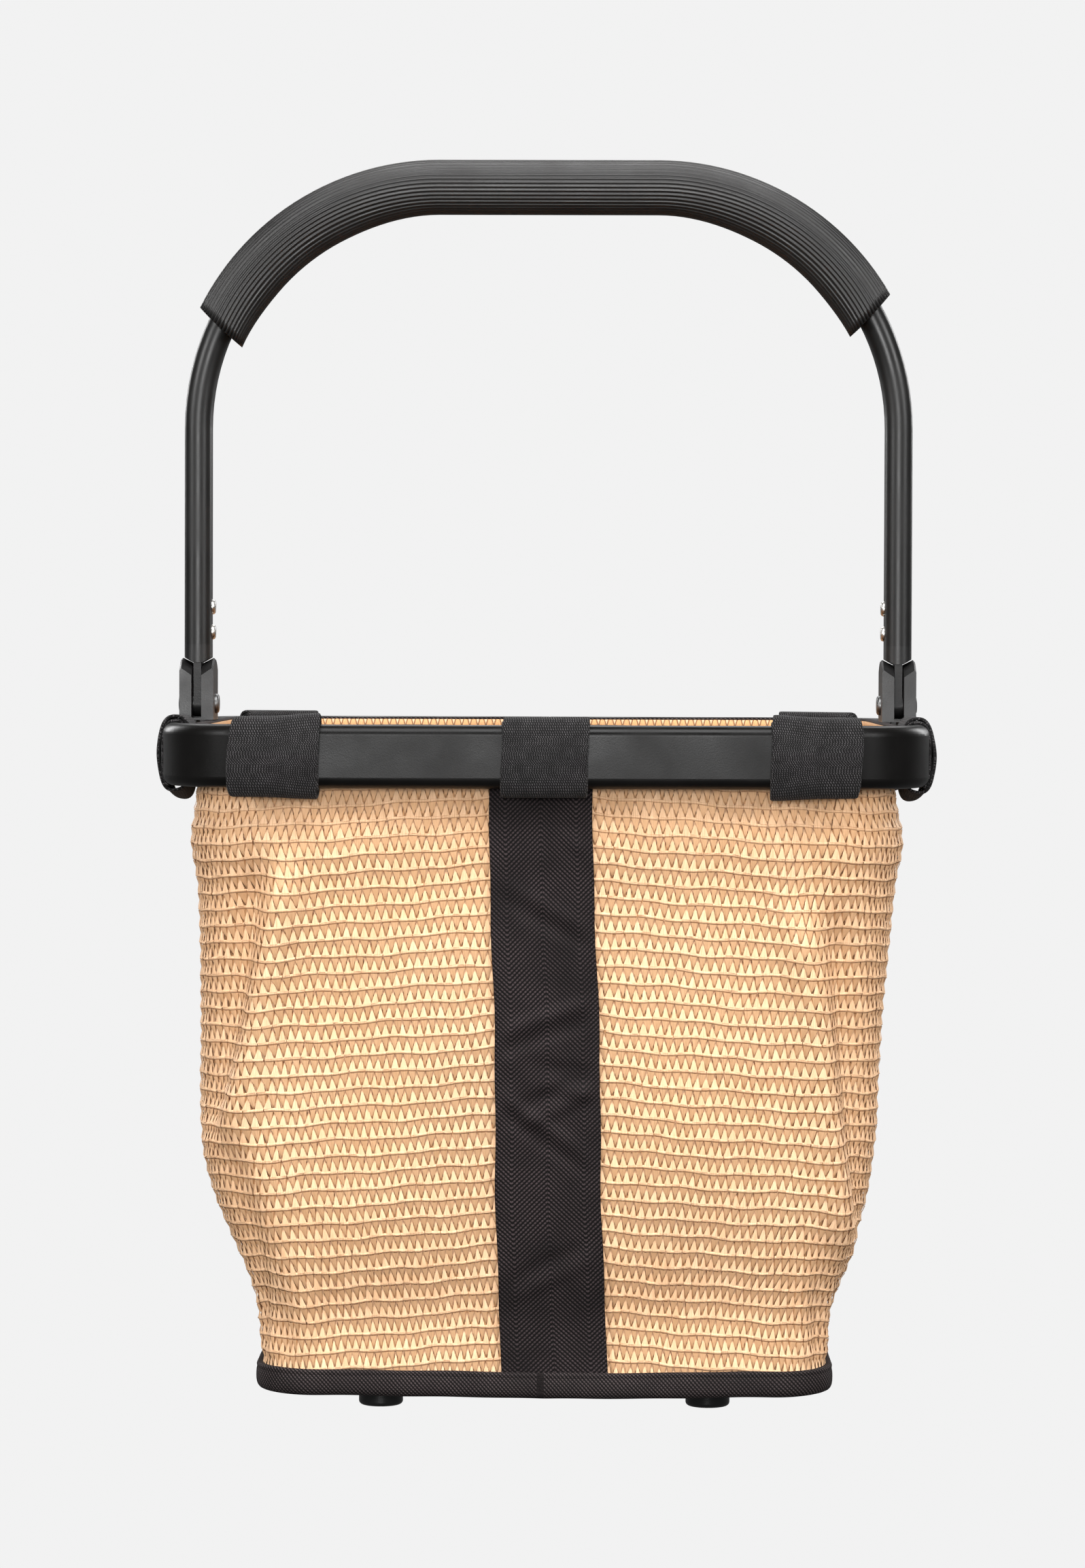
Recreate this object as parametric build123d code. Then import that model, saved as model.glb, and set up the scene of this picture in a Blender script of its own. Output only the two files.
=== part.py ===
"""Handlebar basket, in millimetres.

A woven bag hangs by hook-and-loop straps inside a flat-oval tube rim. A carrying handle folds on two
hinges on the rim's sides, and a quick-release bracket on the back clamps to a handlebar.
+Z is up, -Y is the front, +Y faces the handlebar, and the origin is on the floor below the middle of
the whole object's box. Every piece is built about the middle of the rim and moved at the end.
"""

import os
from math import sqrt

from build123d import *

# Rim: a flat-oval tube bent into a rounded rectangle.
RIM_HALF_X = 171.5
RIM_HALF_Y = 135.0
RIM_CORNER = 50.0
RIM_DEPTH = 10.0
RIM_HEIGHT = 28.0
RIM_TOP = 309.0
RIM_WALL = 1.5
RIM_ROUND = 4.8
RIM_LOW = RIM_TOP - RIM_HEIGHT
RIM_MID = RIM_TOP - RIM_HEIGHT / 2
RIM_LINE_X = RIM_HALF_X - RIM_DEPTH / 2
JOINT_GAP = 0.4

# Handle: a stadium-section tube, two vertical legs, two bends and a straight top.
HANDLE_HALF_X = 163.0
HANDLE_TOP = 557.0
HANDLE_BEND = 112.0
HANDLE_WIDE = 12.7
HANDLE_DEEP = 18.0
HANDLE_WALL = 1.5
HANDLE_FOOT = 344.2
HANDLE_STRAIGHT = HANDLE_HALF_X - HANDLE_BEND
GRIP_WIDE = 25.0
GRIP_DEEP = 30.0
GRIP_FROM_DEG = 26.0
GRIP_CUT_DEG = 44.0
LEG_RIVET_Z = (349.9, 361.6)

# Hinge: two cheeks on the rim, a tongue on the handle, one pin.
PIVOT_Z = 316.5
SLOT_HALF = 2.3
CHEEK_THICK = 5.6
CHEEK_HALF_Y = 13.5
CHEEK_RADIUS = 21.3
CHEEK_INNER_RADIUS = 18.9
TONGUE_HALF = 1.8
TONGUE_EYE = 6.2
PIN_RADIUS = 2.5
PIN_RUNNING = 0.05
WASHER_THICK = 0.4
BASE_THICK = 1.0
STEM_HALF_Y = 11.8
STEM_HALF_X = 3.3
STEM_LOW = 286.5
BRACKET_RIVET_Y = 7.0

# Bag: half sizes and corner radius of its outer face, from the base up.
BAG_FORM = (
    (9.3, 127.4, 96.4, 25.4),
    (19.6, 127.5, 96.5, 25.5),
    (40.0, 128.3, 97.3, 26.0),
    (52.0, 131.5, 99.8, 28.5),
    (62.0, 136.0, 103.0, 32.0),
    (75.0, 140.5, 106.0, 36.0),
    (95.0, 146.5, 109.5, 40.0),
    (125.0, 151.0, 113.0, 44.0),
    (160.0, 153.3, 116.0, 46.0),
    (215.0, 156.5, 119.5, 46.0),
    (238.0, 157.5, 121.0, 45.0),
    (256.0, 161.0, 123.5, 43.0),
    (274.0, 157.1, 122.1, 40.0),
    (308.6, 157.1, 122.1, 38.5),
)
WEAVE_THICK = 2.5
SEAM_GAP = 0.2
STRIP_HALF = 22.5
STRIP_THICK = 0.7
HEM_LOW = 307.0
HEM_THICK = 0.7

# Base: binding, cloth, stiffening board and four feet.
PIPING_LOW = 8.0
PIPING_TOP = 19.6
PIPING_THICK = 2.0
CLOTH_THICK = 1.2
CLOTH_LOW = 8.1
BOARD_THICK = 3.2
BOARD_MARGIN = 3.0
FOOT_RADIUS = 10.0
FOOT_AT = (74.0, 70.0)
FOOT_SCREW = 2.0
FOOT_RECESS = 4.0

# Straps: hook-and-loop bands round the rim.
STRAP_WIDE = 38.0
STRAP_THICK = 2.2
STRAP_CORNER_X = 118.0
STRAP_BACK_X = 133.0
STRAP_SIDE_Y = 62.0

# Adapter plate on the back of the rim.
PLATE_HALF_X = 64.0
PLATE_LOW = 215.0
PLATE_TOP = 304.0
PLATE_THICK = 4.5
PLATE_BACK = RIM_HALF_Y + PLATE_THICK
RAIL_LOW = 226.0
RAIL_DEEP = 8.0
RAIL_OUT = 53.0
RAIL_LIP = 3.4
SLIDE_GAP = 0.3
PLATE_SCREWS = ((24.0, 298.0), (59.0, RIM_MID))
SCREW_RADIUS = 2.5
THREAD_GAP = 0.05
RIVET_NUT = 3.4

# Bar bracket: body, latch and handlebar clamp.
BODY_FRONT = PLATE_BACK + SLIDE_GAP
BODY_BACK = 165.0
BODY_LOW = 228.0
BODY_TOP = 290.0
BODY_HALF_X = 42.0
FLANGE_HALF_X = 48.0
FLANGE_THICK = 4.0
BAR_RADIUS = 12.7
BAR_Y = 183.0
BAR_Z = 260.0
CLAMP_X = 36.0
CLAMP_HALF = 9.0
CLAMP_HALF_Z = 25.0
CLAMP_GAP = 0.6
CLAMP_WALL = 4.5
CLAMP_BOLT_Z = 20.2
CAP_LUG = 6.4

# Latch: the button moves down and its wedge draws the bolt back by the same amount.
LATCH_TRAVEL = 5.0
BOLT_LOW = 264.0
BOLT_TOP = 272.0
BOLT_HALF_X = 7.9
BOLT_TIP = 135.3
BOLT_END = 158.5
CAVITY_HALF_X = 11.4
CAVITY_FRONT = 142.6
CAVITY_BACK = 162.8
CAVITY_LOW = 258.0
WEDGE_TIP = (143.2, 264.3)
WEDGE_WIDE = 4.5
WEDGE_KNEE = 277.5
WEDGE_STEM = 150.0
WEDGE_HALF_X = 5.0
WEDGE_GAP = 0.3
BUTTON_TOP = 297.0
BUTTON_LOW = 284.0
BUTTON_HALF_X = 11.0
BUTTON_FRONT = 143.0
BUTTON_BACK = 157.0
SHELF_TOP = 275.0
SPRING_X = 8.2
SPRING_RADIUS = 1.9
SPRING_WIRE = 0.35
SPRING_TURNS = 5

BOX_FRONT = RIM_HALF_Y + STRAP_THICK
BOX_BACK = BAR_Y + BAR_RADIUS + CLAMP_WALL
TO_ORIGIN = Pos(0, (BOX_FRONT - BOX_BACK) / 2, 0)


def box(x_range, y_range, z_range):
    """A block between two corners."""
    low = Vector(x_range[0], y_range[0], z_range[0])
    size = Vector(x_range[1], y_range[1], z_range[1]) - low
    return Pos(low) * Box(size.X, size.Y, size.Z, align=(Align.MIN, Align.MIN, Align.MIN))


def rod_x(radius, x_from, x_to, y, z):
    """A round bar along X."""
    return Pos(x_from, y, z) * Rot(0, 90, 0) * Cylinder(radius, x_to - x_from, align=MIN_Z)


def rod_y(radius, y_from, y_to, x, z):
    """A round bar along Y."""
    return Pos(x, y_from, z) * Rot(-90, 0, 0) * Cylinder(radius, y_to - y_from, align=MIN_Z)


def rod_z(radius, z_from, z_to, x, y):
    """A round bar along Z."""
    return Pos(x, y, z_from) * Cylinder(radius, z_to - z_from, align=MIN_Z)


MIN_Z = (Align.CENTER, Align.CENTER, Align.MIN)


def slab(half_x, half_y, corner, z_low, z_top):
    """A rounded rectangle, extruded upwards."""
    return Pos(0, 0, z_low) * extrude(RectangleRounded(2 * half_x, 2 * half_y, corner), z_top - z_low)


def both_sides(piece):
    """A right-hand piece and its mirror image."""
    return Compound([*piece.solids(), *mirror(piece, about=Plane.YZ).solids()])


def group(pieces):
    """Several loose solids as one node."""
    return Compound([solid for piece in pieces for solid in piece.solids()])


def cut(shape, tools):
    """A shape with every tool taken away, one after another."""
    for tool in tools:
        for solid in tool.solids():
            shape -= solid
    return shape


def rim_ring(grow):
    """The rim's flat-oval ring, with its surface moved outwards by grow."""
    z_range = (RIM_LOW - grow, RIM_TOP + grow)
    inner_x = RIM_HALF_X - RIM_DEPTH - grow
    inner_y = RIM_HALF_Y - RIM_DEPTH - grow
    ring = slab(RIM_HALF_X + grow, RIM_HALF_Y + grow, RIM_CORNER + grow, *z_range)
    ring -= slab(inner_x, inner_y, RIM_CORNER - RIM_DEPTH - grow, *z_range)
    flats = ring.faces().filter_by(Axis.Z)
    return fillet(flats.edges(), RIM_ROUND + grow)


def rim_tube():
    """The hollow rim with its butt joint, hinge slots and fixing holes."""
    tube = rim_ring(0) - rim_ring(-RIM_WALL)
    back_y = (RIM_HALF_Y - RIM_DEPTH - 1, RIM_HALF_Y + 1)
    tube -= box((-JOINT_GAP / 2, JOINT_GAP / 2), back_y, (RIM_LOW - 1, RIM_TOP + 1))
    slot = box(
        (RIM_LINE_X - STEM_HALF_X - 0.1, RIM_LINE_X + STEM_HALF_X + 0.1),
        (-STEM_HALF_Y - 0.2, STEM_HALF_Y + 0.2),
        (RIM_MID, RIM_TOP + 1),
    )
    holes = [both_sides(piece) for piece in [slot, *bracket_rivet_shafts()]]
    for x, z in plate_screw_places():
        holes.append(rod_y(RIVET_NUT, RIM_HALF_Y - 7, RIM_HALF_Y + 1, x, z))
    for x in (-SLEEVE_RIVET_X, SLEEVE_RIVET_X):
        holes.append(rod_y(2.0, RIM_HALF_Y - RIM_DEPTH - 1, RIM_HALF_Y - RIM_DEPTH / 2, x, RIM_MID))
    return cut(tube, holes)


SLEEVE_HALF = 16.0
SLEEVE_RIVET_X = 9.0


def rim_joint_sleeve():
    """The plug inside the rim that bridges its butt joint."""
    inside = rim_ring(-RIM_WALL - 0.1)
    y_range = (RIM_HALF_Y - RIM_DEPTH, RIM_HALF_Y)
    sleeve = inside & box((-SLEEVE_HALF, SLEEVE_HALF), y_range, (RIM_LOW, RIM_TOP))
    for x in (-SLEEVE_RIVET_X, SLEEVE_RIVET_X):
        sleeve -= rod_y(2.0, y_range[0], y_range[0] + RIM_DEPTH / 2, x, RIM_MID)
    return sleeve


def rim_joint_rivets():
    """Two blind rivets through the rim's inner wall into the sleeve."""
    wall_y = RIM_HALF_Y - RIM_DEPTH
    rivets = []
    for x in (-SLEEVE_RIVET_X, SLEEVE_RIVET_X):
        head = Pos(x, wall_y, RIM_MID) * Rot(90, 0, 0) * domed_head(3.6, 1.2)
        rivets.append(head + rod_y(2.0, wall_y, wall_y + RIM_DEPTH / 2, x, RIM_MID))
    return group(rivets)


def domed_head(radius, height):
    """A low domed head standing on the XY plane."""
    head = Cylinder(radius, height, align=MIN_Z)
    return fillet(head.edges().sort_by(Axis.Z)[-1], height * 0.8)


def stadium(wide, deep):
    """The handle tube's section: rounded ends to the front and back."""
    return Rot(0, 0, 90) * SlotOverall(deep, wide)


def bend_centre(side):
    """Centre of the handle's bend on one side."""
    return Vector(side * HANDLE_STRAIGHT, 0, HANDLE_TOP - HANDLE_BEND)


def handle_arc(side, from_deg, to_deg):
    """Part of a bend, by its angle above the horizontal."""
    plane = Plane(origin=bend_centre(side), x_dir=(side, 0, 0), z_dir=(0, -side, 0))
    return plane * CenterArc((0, 0), HANDLE_BEND, from_deg, to_deg - from_deg)


def top_line():
    """The straight top of the handle."""
    return Line((HANDLE_STRAIGHT, 0, HANDLE_TOP), (-HANDLE_STRAIGHT, 0, HANDLE_TOP))


def leg_line(side, z_low):
    """One vertical leg of the handle."""
    x = side * HANDLE_HALF_X
    return Line((x, 0, z_low), (x, 0, HANDLE_TOP - HANDLE_BEND))


def swept(section, path, start, direction):
    """A section swept along a path, held square to its start."""
    plane = Plane(origin=start, x_dir=(0, 1, 0), z_dir=direction)
    return sweep(plane * Rot(0, 0, 90) * section, path=path)


def handle_run(section):
    """A section swept up one leg, over the top and down the other."""
    path = Wire(
        [
            leg_line(1, HANDLE_FOOT).edge(),
            handle_arc(1, 0, 90).edge(),
            top_line().edge(),
            handle_arc(-1, 0, 90).edge(),
            leg_line(-1, HANDLE_FOOT).edge(),
        ]
    )
    return swept(section, path, (HANDLE_HALF_X, 0, HANDLE_FOOT), (0, 0, 1))


def grip_run(section):
    """A section swept over the gripped part of the handle and past both of its ends."""
    arc = handle_arc(1, GRIP_FROM_DEG - 12, 90).edge()
    path = Wire([arc, top_line().edge(), handle_arc(-1, GRIP_FROM_DEG - 12, 90).edge()])
    return swept(section, path, arc @ 0, arc % 0)


def grip_end_cut():
    """The block below the grip's right-hand end, whose face leans in more than the bend does."""
    end = handle_arc(1, 0, 90) @ (GRIP_FROM_DEG / 90)
    block = Box(90, 90, 60, align=(Align.CENTER, Align.CENTER, Align.MAX))
    return Pos(end) * Rot(0, -GRIP_CUT_DEG, 0) * block


def handle_tube():
    """The bent handle tube, hollow from end to end."""
    bore = stadium(HANDLE_WIDE - 2 * HANDLE_WALL, HANDLE_DEEP - 2 * HANDLE_WALL)
    tube = handle_run(stadium(HANDLE_WIDE, HANDLE_DEEP)) - handle_run(bore)
    holes = [rod_x(2.0, HANDLE_HALF_X - 8, HANDLE_HALF_X + 8, 0, z) for z in LEG_RIVET_Z]
    return cut(tube, [both_sides(hole) for hole in holes])


def handle_grip():
    """The foam sleeve over the handle's top."""
    sleeve = grip_run(stadium(GRIP_WIDE, GRIP_DEEP)) - handle_run(stadium(HANDLE_WIDE, HANDLE_DEEP))
    return sleeve - both_sides(grip_end_cut())


INSERT_TOP = 372.0
COLLAR_LOW = 335.8
COLLAR_EDGE = 338.1


def handle_end():
    """Right-hand hinge end: a plug in the tube, a collar and the tongue."""
    x = HANDLE_HALF_X
    plug_wide = HANDLE_WIDE - 2 * HANDLE_WALL - 0.2
    plug_deep = HANDLE_DEEP - 2 * HANDLE_WALL - 0.2
    plug = Pos(x, 0, HANDLE_FOOT) * extrude(stadium(plug_wide, plug_deep), INSERT_TOP - HANDLE_FOOT)
    collar = Pos(x, 0, COLLAR_LOW) * extrude(
        stadium(HANDLE_WIDE, HANDLE_DEEP), HANDLE_FOOT - COLLAR_LOW
    )
    half = HANDLE_WIDE / 2
    roof = Polyline(
        (x - half, COLLAR_EDGE),
        (x - SLOT_HALF + 0.1, COLLAR_LOW),
        (x + SLOT_HALF - 0.1, COLLAR_LOW),
        (x + half, COLLAR_EDGE),
        (x + half, HANDLE_FOOT),
        (x - half, HANDLE_FOOT),
        close=True,
    )
    collar &= extrude(Plane.XZ * make_face(roof), HANDLE_DEEP, both=True)
    eye = rod_x(TONGUE_EYE, x - TONGUE_HALF, x + TONGUE_HALF, 0, PIVOT_Z)
    blade = Polyline(
        (-TONGUE_EYE, PIVOT_Z),
        (TONGUE_EYE, PIVOT_Z),
        (HANDLE_DEEP / 2 - 1, COLLAR_EDGE),
        (1 - HANDLE_DEEP / 2, COLLAR_EDGE),
        close=True,
    )
    tongue = Pos(x, 0, 0) * extrude(Plane.YZ * make_face(blade), TONGUE_HALF, both=True)
    end = plug + collar + tongue + eye
    end -= rod_x(PIN_RADIUS + PIN_RUNNING, x - 4, x + 4, 0, PIVOT_Z)
    for z in LEG_RIVET_Z:
        end -= rod_x(2.0, x - 8, x + 8, 0, z)
    return end


def handle_rivets():
    """Two rivets in each leg, headed on the inner face."""
    inner = HANDLE_HALF_X - HANDLE_WIDE / 2
    rivets = []
    for z in LEG_RIVET_Z:
        shaft = rod_x(2.0, inner, HANDLE_HALF_X + HANDLE_WIDE / 2, 0, z)
        head = Pos(inner, 0, z) * Rot(0, -90, 0) * domed_head(3.5, 1.6)
        rivets.append(shaft + head)
    return both_sides(group(rivets))


def hinge_bracket():
    """Right-hand bracket: two cheeks with a tapered slot, a base and a stem inside the rim."""
    x = HANDLE_HALF_X
    outer = SLOT_HALF + CHEEK_THICK
    profile = Polyline(
        (SLOT_HALF, 0),
        (SLOT_HALF, CHEEK_INNER_RADIUS),
        (outer - 0.8, CHEEK_RADIUS),
        (outer, CHEEK_RADIUS - 0.8),
        (outer, 0),
        close=True,
    )
    cheek = revolve(make_face(profile), axis=Axis.X)
    cheeks = Pos(x, 0, PIVOT_Z) * (cheek + mirror(cheek, about=Plane.YZ))
    cheeks &= box(
        (x - outer, x + outer),
        (-CHEEK_HALF_Y, CHEEK_HALF_Y),
        (RIM_TOP, PIVOT_Z + CHEEK_RADIUS + 1),
    )
    base = box(
        (x - outer, x + outer), (-CHEEK_HALF_Y, CHEEK_HALF_Y), (RIM_TOP, RIM_TOP + BASE_THICK)
    )
    stem = box(
        (RIM_LINE_X - STEM_HALF_X, RIM_LINE_X + STEM_HALF_X),
        (-STEM_HALF_Y, STEM_HALF_Y),
        (STEM_LOW, RIM_TOP + BASE_THICK),
    )
    bracket = cheeks + base + stem
    bracket -= rod_x(PIN_RADIUS, x - outer - 1, x + outer + 1, 0, PIVOT_Z)
    for shaft in bracket_rivet_shafts():
        bracket -= shaft
    return bracket


def bracket_rivet_shafts():
    """The shanks of the two rivets that hold the right-hand bracket in the rim."""
    x_from = RIM_HALF_X - RIM_DEPTH
    return [
        rod_x(2.0, x_from, RIM_HALF_X, y, RIM_MID) for y in (-BRACKET_RIVET_Y, BRACKET_RIVET_Y)
    ]


def bracket_rivets():
    """Four rivets across the rim, headed on both faces."""
    rivets = []
    for y, shaft in zip((-BRACKET_RIVET_Y, BRACKET_RIVET_Y), bracket_rivet_shafts()):
        inner = Pos(RIM_HALF_X - RIM_DEPTH, y, RIM_MID) * Rot(0, -90, 0) * domed_head(3.6, 1.3)
        outer = Pos(RIM_HALF_X, y, RIM_MID) * Rot(0, 90, 0) * domed_head(3.6, 1.3)
        rivets.append(shaft + inner + outer)
    return both_sides(group(rivets))


def hinge_pin():
    """Right-hand pin, with its large head on the inner face."""
    outer = SLOT_HALF + CHEEK_THICK
    x_low, x_high = HANDLE_HALF_X - outer, HANDLE_HALF_X + outer
    shaft = rod_x(PIN_RADIUS, x_low, x_high, 0, PIVOT_Z)
    head = Pos(x_low, 0, PIVOT_Z) * Rot(0, -90, 0) * domed_head(4.6, 1.8)
    tail = Pos(x_high, 0, PIVOT_Z) * Rot(0, 90, 0) * domed_head(3.8, 1.2)
    return shaft + head + tail


def hinge_washers():
    """A thin washer on each side of each tongue."""
    washers = []
    for x in (HANDLE_HALF_X - TONGUE_HALF - WASHER_THICK, HANDLE_HALF_X + TONGUE_HALF):
        ring = rod_x(TONGUE_EYE - 0.4, x, x + WASHER_THICK, 0, PIVOT_Z)
        washers.append(ring - rod_x(PIN_RADIUS + 0.1, x, x + WASHER_THICK, 0, PIVOT_Z))
    return both_sides(group(washers))


def bag_solid(grow, z_low=None, z_top=None):
    """The bag's outer form, moved outwards by grow. Its ends can be moved to cut through."""
    sections = []
    for index, (z, half_x, half_y, corner) in enumerate(BAG_FORM):
        if index == 0 and z_low is not None:
            z = z_low
        if index == len(BAG_FORM) - 1 and z_top is not None:
            z = z_top
        outline = RectangleRounded(2 * (half_x + grow), 2 * (half_y + grow), corner + grow)
        sections.append(Pos(0, 0, z) * outline)
    return loft(sections, ruled=True)


def weave_shell():
    """The bag's wall, open at the top and bottom, up to the hem binding's fold."""
    shell = bag_solid(0) - bag_solid(-WEAVE_THICK, z_low=0.0, z_top=RIM_TOP + 5)
    fold = BAG_FORM[-1][0] - HEM_THICK
    return shell & box((-200, 200), (-200, 200), (0, fold))


def weave_panels():
    """The right and left half of the wall, which meet under the front and back strips."""
    shell = weave_shell()
    right = shell & box((SEAM_GAP / 2, 200), (-200, 200), (0, 400))
    return right, mirror(right, about=Plane.YZ)


def seam_strips():
    """The cloth strips over the front and back seams."""
    skin = bag_solid(STRIP_THICK) - bag_solid(0, z_low=0.0, z_top=RIM_TOP + 5)
    span = (PIPING_TOP, HEM_LOW)
    front = skin & box((-STRIP_HALF, STRIP_HALF), (-200, 0), span)
    back = skin & box((-STRIP_HALF, STRIP_HALF), (0, 200), span)
    return front, back


def hem_binding():
    """The tape folded over the bag's top edge."""
    band = bag_solid(HEM_THICK) - bag_solid(
        -WEAVE_THICK - HEM_THICK, z_low=0.0, z_top=RIM_TOP + 5
    )
    band &= box((-200, 200), (-200, 200), (HEM_LOW, BAG_FORM[-1][0]))
    return band - weave_shell()


def base_binding():
    """The binding round the base, rounded on its outer edges."""
    low = BAG_FORM[1]
    half_x, half_y, corner = low[1:]
    ring = slab(
        half_x + PIPING_THICK, half_y + PIPING_THICK, corner + PIPING_THICK, PIPING_LOW, PIPING_TOP
    )
    ring = fillet(ring.faces().filter_by(Axis.Z).edges(), 1.6)
    return ring - slab(half_x, half_y, corner, PIPING_LOW, PIPING_TOP)


def foot_centres():
    """The four feet, front left first."""
    x, y = FOOT_AT
    return [(side_x * x, side_y * y) for side_y in (-1, 1) for side_x in (-1, 1)]


def foot_holes(z_low, z_top):
    """Clearance holes for the foot screws."""
    return [rod_z(FOOT_SCREW + 0.1, z_low, z_top, *at) for at in foot_centres()]


BOARD_LOW = CLOTH_LOW + CLOTH_THICK
BOARD_TOP = BOARD_LOW + BOARD_THICK


def base_cloth():
    """The cloth under the bag."""
    half_x, half_y, corner = BAG_FORM[1][1:]
    cloth = slab(half_x, half_y, corner, CLOTH_LOW, BOARD_LOW)
    return cut(cloth, foot_holes(CLOTH_LOW, BOARD_LOW))


def base_board():
    """The stiffening board that lies in the bag."""
    half_x, half_y, corner = (size - BOARD_MARGIN for size in BAG_FORM[1][1:])
    board = slab(half_x, half_y, corner, BOARD_LOW, BOARD_TOP)
    return cut(board, foot_holes(BOARD_LOW, BOARD_TOP))


def feet():
    """Four round feet with a recess for the screw head."""
    made = []
    for at in foot_centres():
        foot = rod_z(FOOT_RADIUS, 0, CLOTH_LOW, *at)
        foot = fillet(foot.edges().sort_by(Axis.Z)[0], 1.8)
        recess = rod_z(4.2, 0, FOOT_RECESS, *at)
        made.append(cut(foot, [recess, rod_z(FOOT_SCREW + 0.1, 0, CLOTH_LOW, *at)]))
    return group(made)


def foot_screws():
    """Four pan-head screws, up through the feet, cloth and board."""
    made = []
    for at in foot_centres():
        head = rod_z(3.9, FOOT_RECESS - 1.6, FOOT_RECESS, *at)
        made.append(head + rod_z(FOOT_SCREW, FOOT_RECESS, BOARD_TOP + 4, *at))
    return group(made)


def foot_nuts():
    """Four washers with nuts on top of the board."""
    made = []
    for at in foot_centres():
        nut = rod_z(7.0, BOARD_TOP, BOARD_TOP + 1, *at)
        nut += Pos(*at, BOARD_TOP + 1) * extrude(RegularPolygon(3.8, 6), 3.2)
        made.append(nut - rod_z(FOOT_SCREW + THREAD_GAP, BOARD_TOP, BOARD_TOP + 5, *at))
    return group(made)


def strap_blocks():
    """Where each strap wraps the rim: its name and the block that cuts it from the band."""
    half = STRAP_WIDE / 2
    tall = (RIM_LOW - 10, RIM_TOP + 10)
    front = (-RIM_HALF_Y - 10, -RIM_HALF_Y + 40)
    back = (RIM_HALF_Y - 40, RIM_HALF_Y + 10)
    blocks = {}
    for name, x in (("left", -STRAP_CORNER_X), ("middle", 0.0), ("right", STRAP_CORNER_X)):
        blocks[f"strap_front_{name}"] = box((x - half, x + half), front, tall)
    for name, x in (("left", -STRAP_BACK_X), ("right", STRAP_BACK_X)):
        blocks[f"strap_back_{name}"] = box((x - half, x + half), back, tall)
    for side, sign in (("left", -1), ("right", 1)):
        edge = sorted((sign * (RIM_HALF_X - 40), sign * (RIM_HALF_X + 10)))
        for end, y in (("front", -STRAP_SIDE_Y), ("rear", STRAP_SIDE_Y)):
            blocks[f"strap_{side}_{end}"] = box(edge, (y - half, y + half), tall)
    return blocks


def straps():
    """Every strap, cut from one band that follows the rim."""
    band = rim_ring(STRAP_THICK) - rim_ring(0)
    return {name: band & block for name, block in strap_blocks().items()}


def plate_screw_places():
    """The four screws that hold the adapter plate to the rim."""
    return [(side * x, z) for x, z in PLATE_SCREWS for side in (-1, 1)]


def adapter_plate():
    """The basket's half of the quick release: a plate with two vertical slide rails and a latch window."""
    middle = (PLATE_LOW + PLATE_TOP) / 2
    outline = RectangleRounded(2 * PLATE_HALF_X, PLATE_TOP - PLATE_LOW, 10)
    plate = Pos(0, RIM_HALF_Y, middle) * Rot(-90, 0, 0) * extrude(outline, PLATE_THICK)
    lip_in = BODY_HALF_X + SLIDE_GAP
    deep = (PLATE_BACK, PLATE_BACK + RAIL_DEEP)
    rail = box((FLANGE_HALF_X + SLIDE_GAP, RAIL_OUT), deep, (RAIL_LOW, BODY_TOP + 6))
    rail += box((lip_in, RAIL_OUT), (deep[1] - RAIL_LIP, deep[1]), (RAIL_LOW, BODY_TOP + 6))
    rail += box((lip_in, RAIL_OUT), deep, (BODY_TOP + SLIDE_GAP, BODY_TOP + 6))
    plate += rail
    plate += mirror(rail, about=Plane.YZ)
    window = box(
        (-BOLT_HALF_X - SLIDE_GAP, BOLT_HALF_X + SLIDE_GAP),
        (RIM_HALF_Y - 1, PLATE_BACK + 1),
        (BOLT_LOW - SLIDE_GAP, BOLT_TOP + SLIDE_GAP),
    )
    plate -= window
    for x, z in plate_screw_places():
        plate -= rod_y(SCREW_RADIUS + 0.2, RIM_HALF_Y - 1, PLATE_BACK + 1, x, z)
    return plate


def plate_screws():
    """Four pan-head screws into the rim's rivet nuts."""
    made = []
    for x, z in plate_screw_places():
        head = Pos(x, PLATE_BACK, z) * Rot(-90, 0, 0) * domed_head(4.4, 2.4)
        made.append(head + rod_y(SCREW_RADIUS, RIM_HALF_Y - 6, PLATE_BACK, x, z))
    return group(made)


def rivet_nuts():
    """Four threaded rivet nuts set in the rim's outer wall."""
    made = []
    for x, z in plate_screw_places():
        nut = rod_y(RIVET_NUT, RIM_HALF_Y - 7, RIM_HALF_Y, x, z)
        made.append(nut - rod_y(SCREW_RADIUS + THREAD_GAP, RIM_HALF_Y - 8, RIM_HALF_Y + 1, x, z))
    return group(made)


def clamp_saddle():
    """Right-hand half clamp that is part of the bracket body."""
    saddle = box(
        (CLAMP_X - CLAMP_HALF, CLAMP_X + CLAMP_HALF),
        (BODY_BACK - 1, BAR_Y - CLAMP_GAP),
        (BAR_Z - CLAMP_HALF_Z, BAR_Z + CLAMP_HALF_Z),
    )
    return saddle - rod_x(BAR_RADIUS, 0, 80, BAR_Y, BAR_Z)


def clamp_bolt_heights():
    """The clamp bolts above and below the bar."""
    return (BAR_Z - CLAMP_BOLT_Z, BAR_Z + CLAMP_BOLT_Z)


INSERT_RADIUS = 3.4
INSERT_LONG = 8.0


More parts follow.
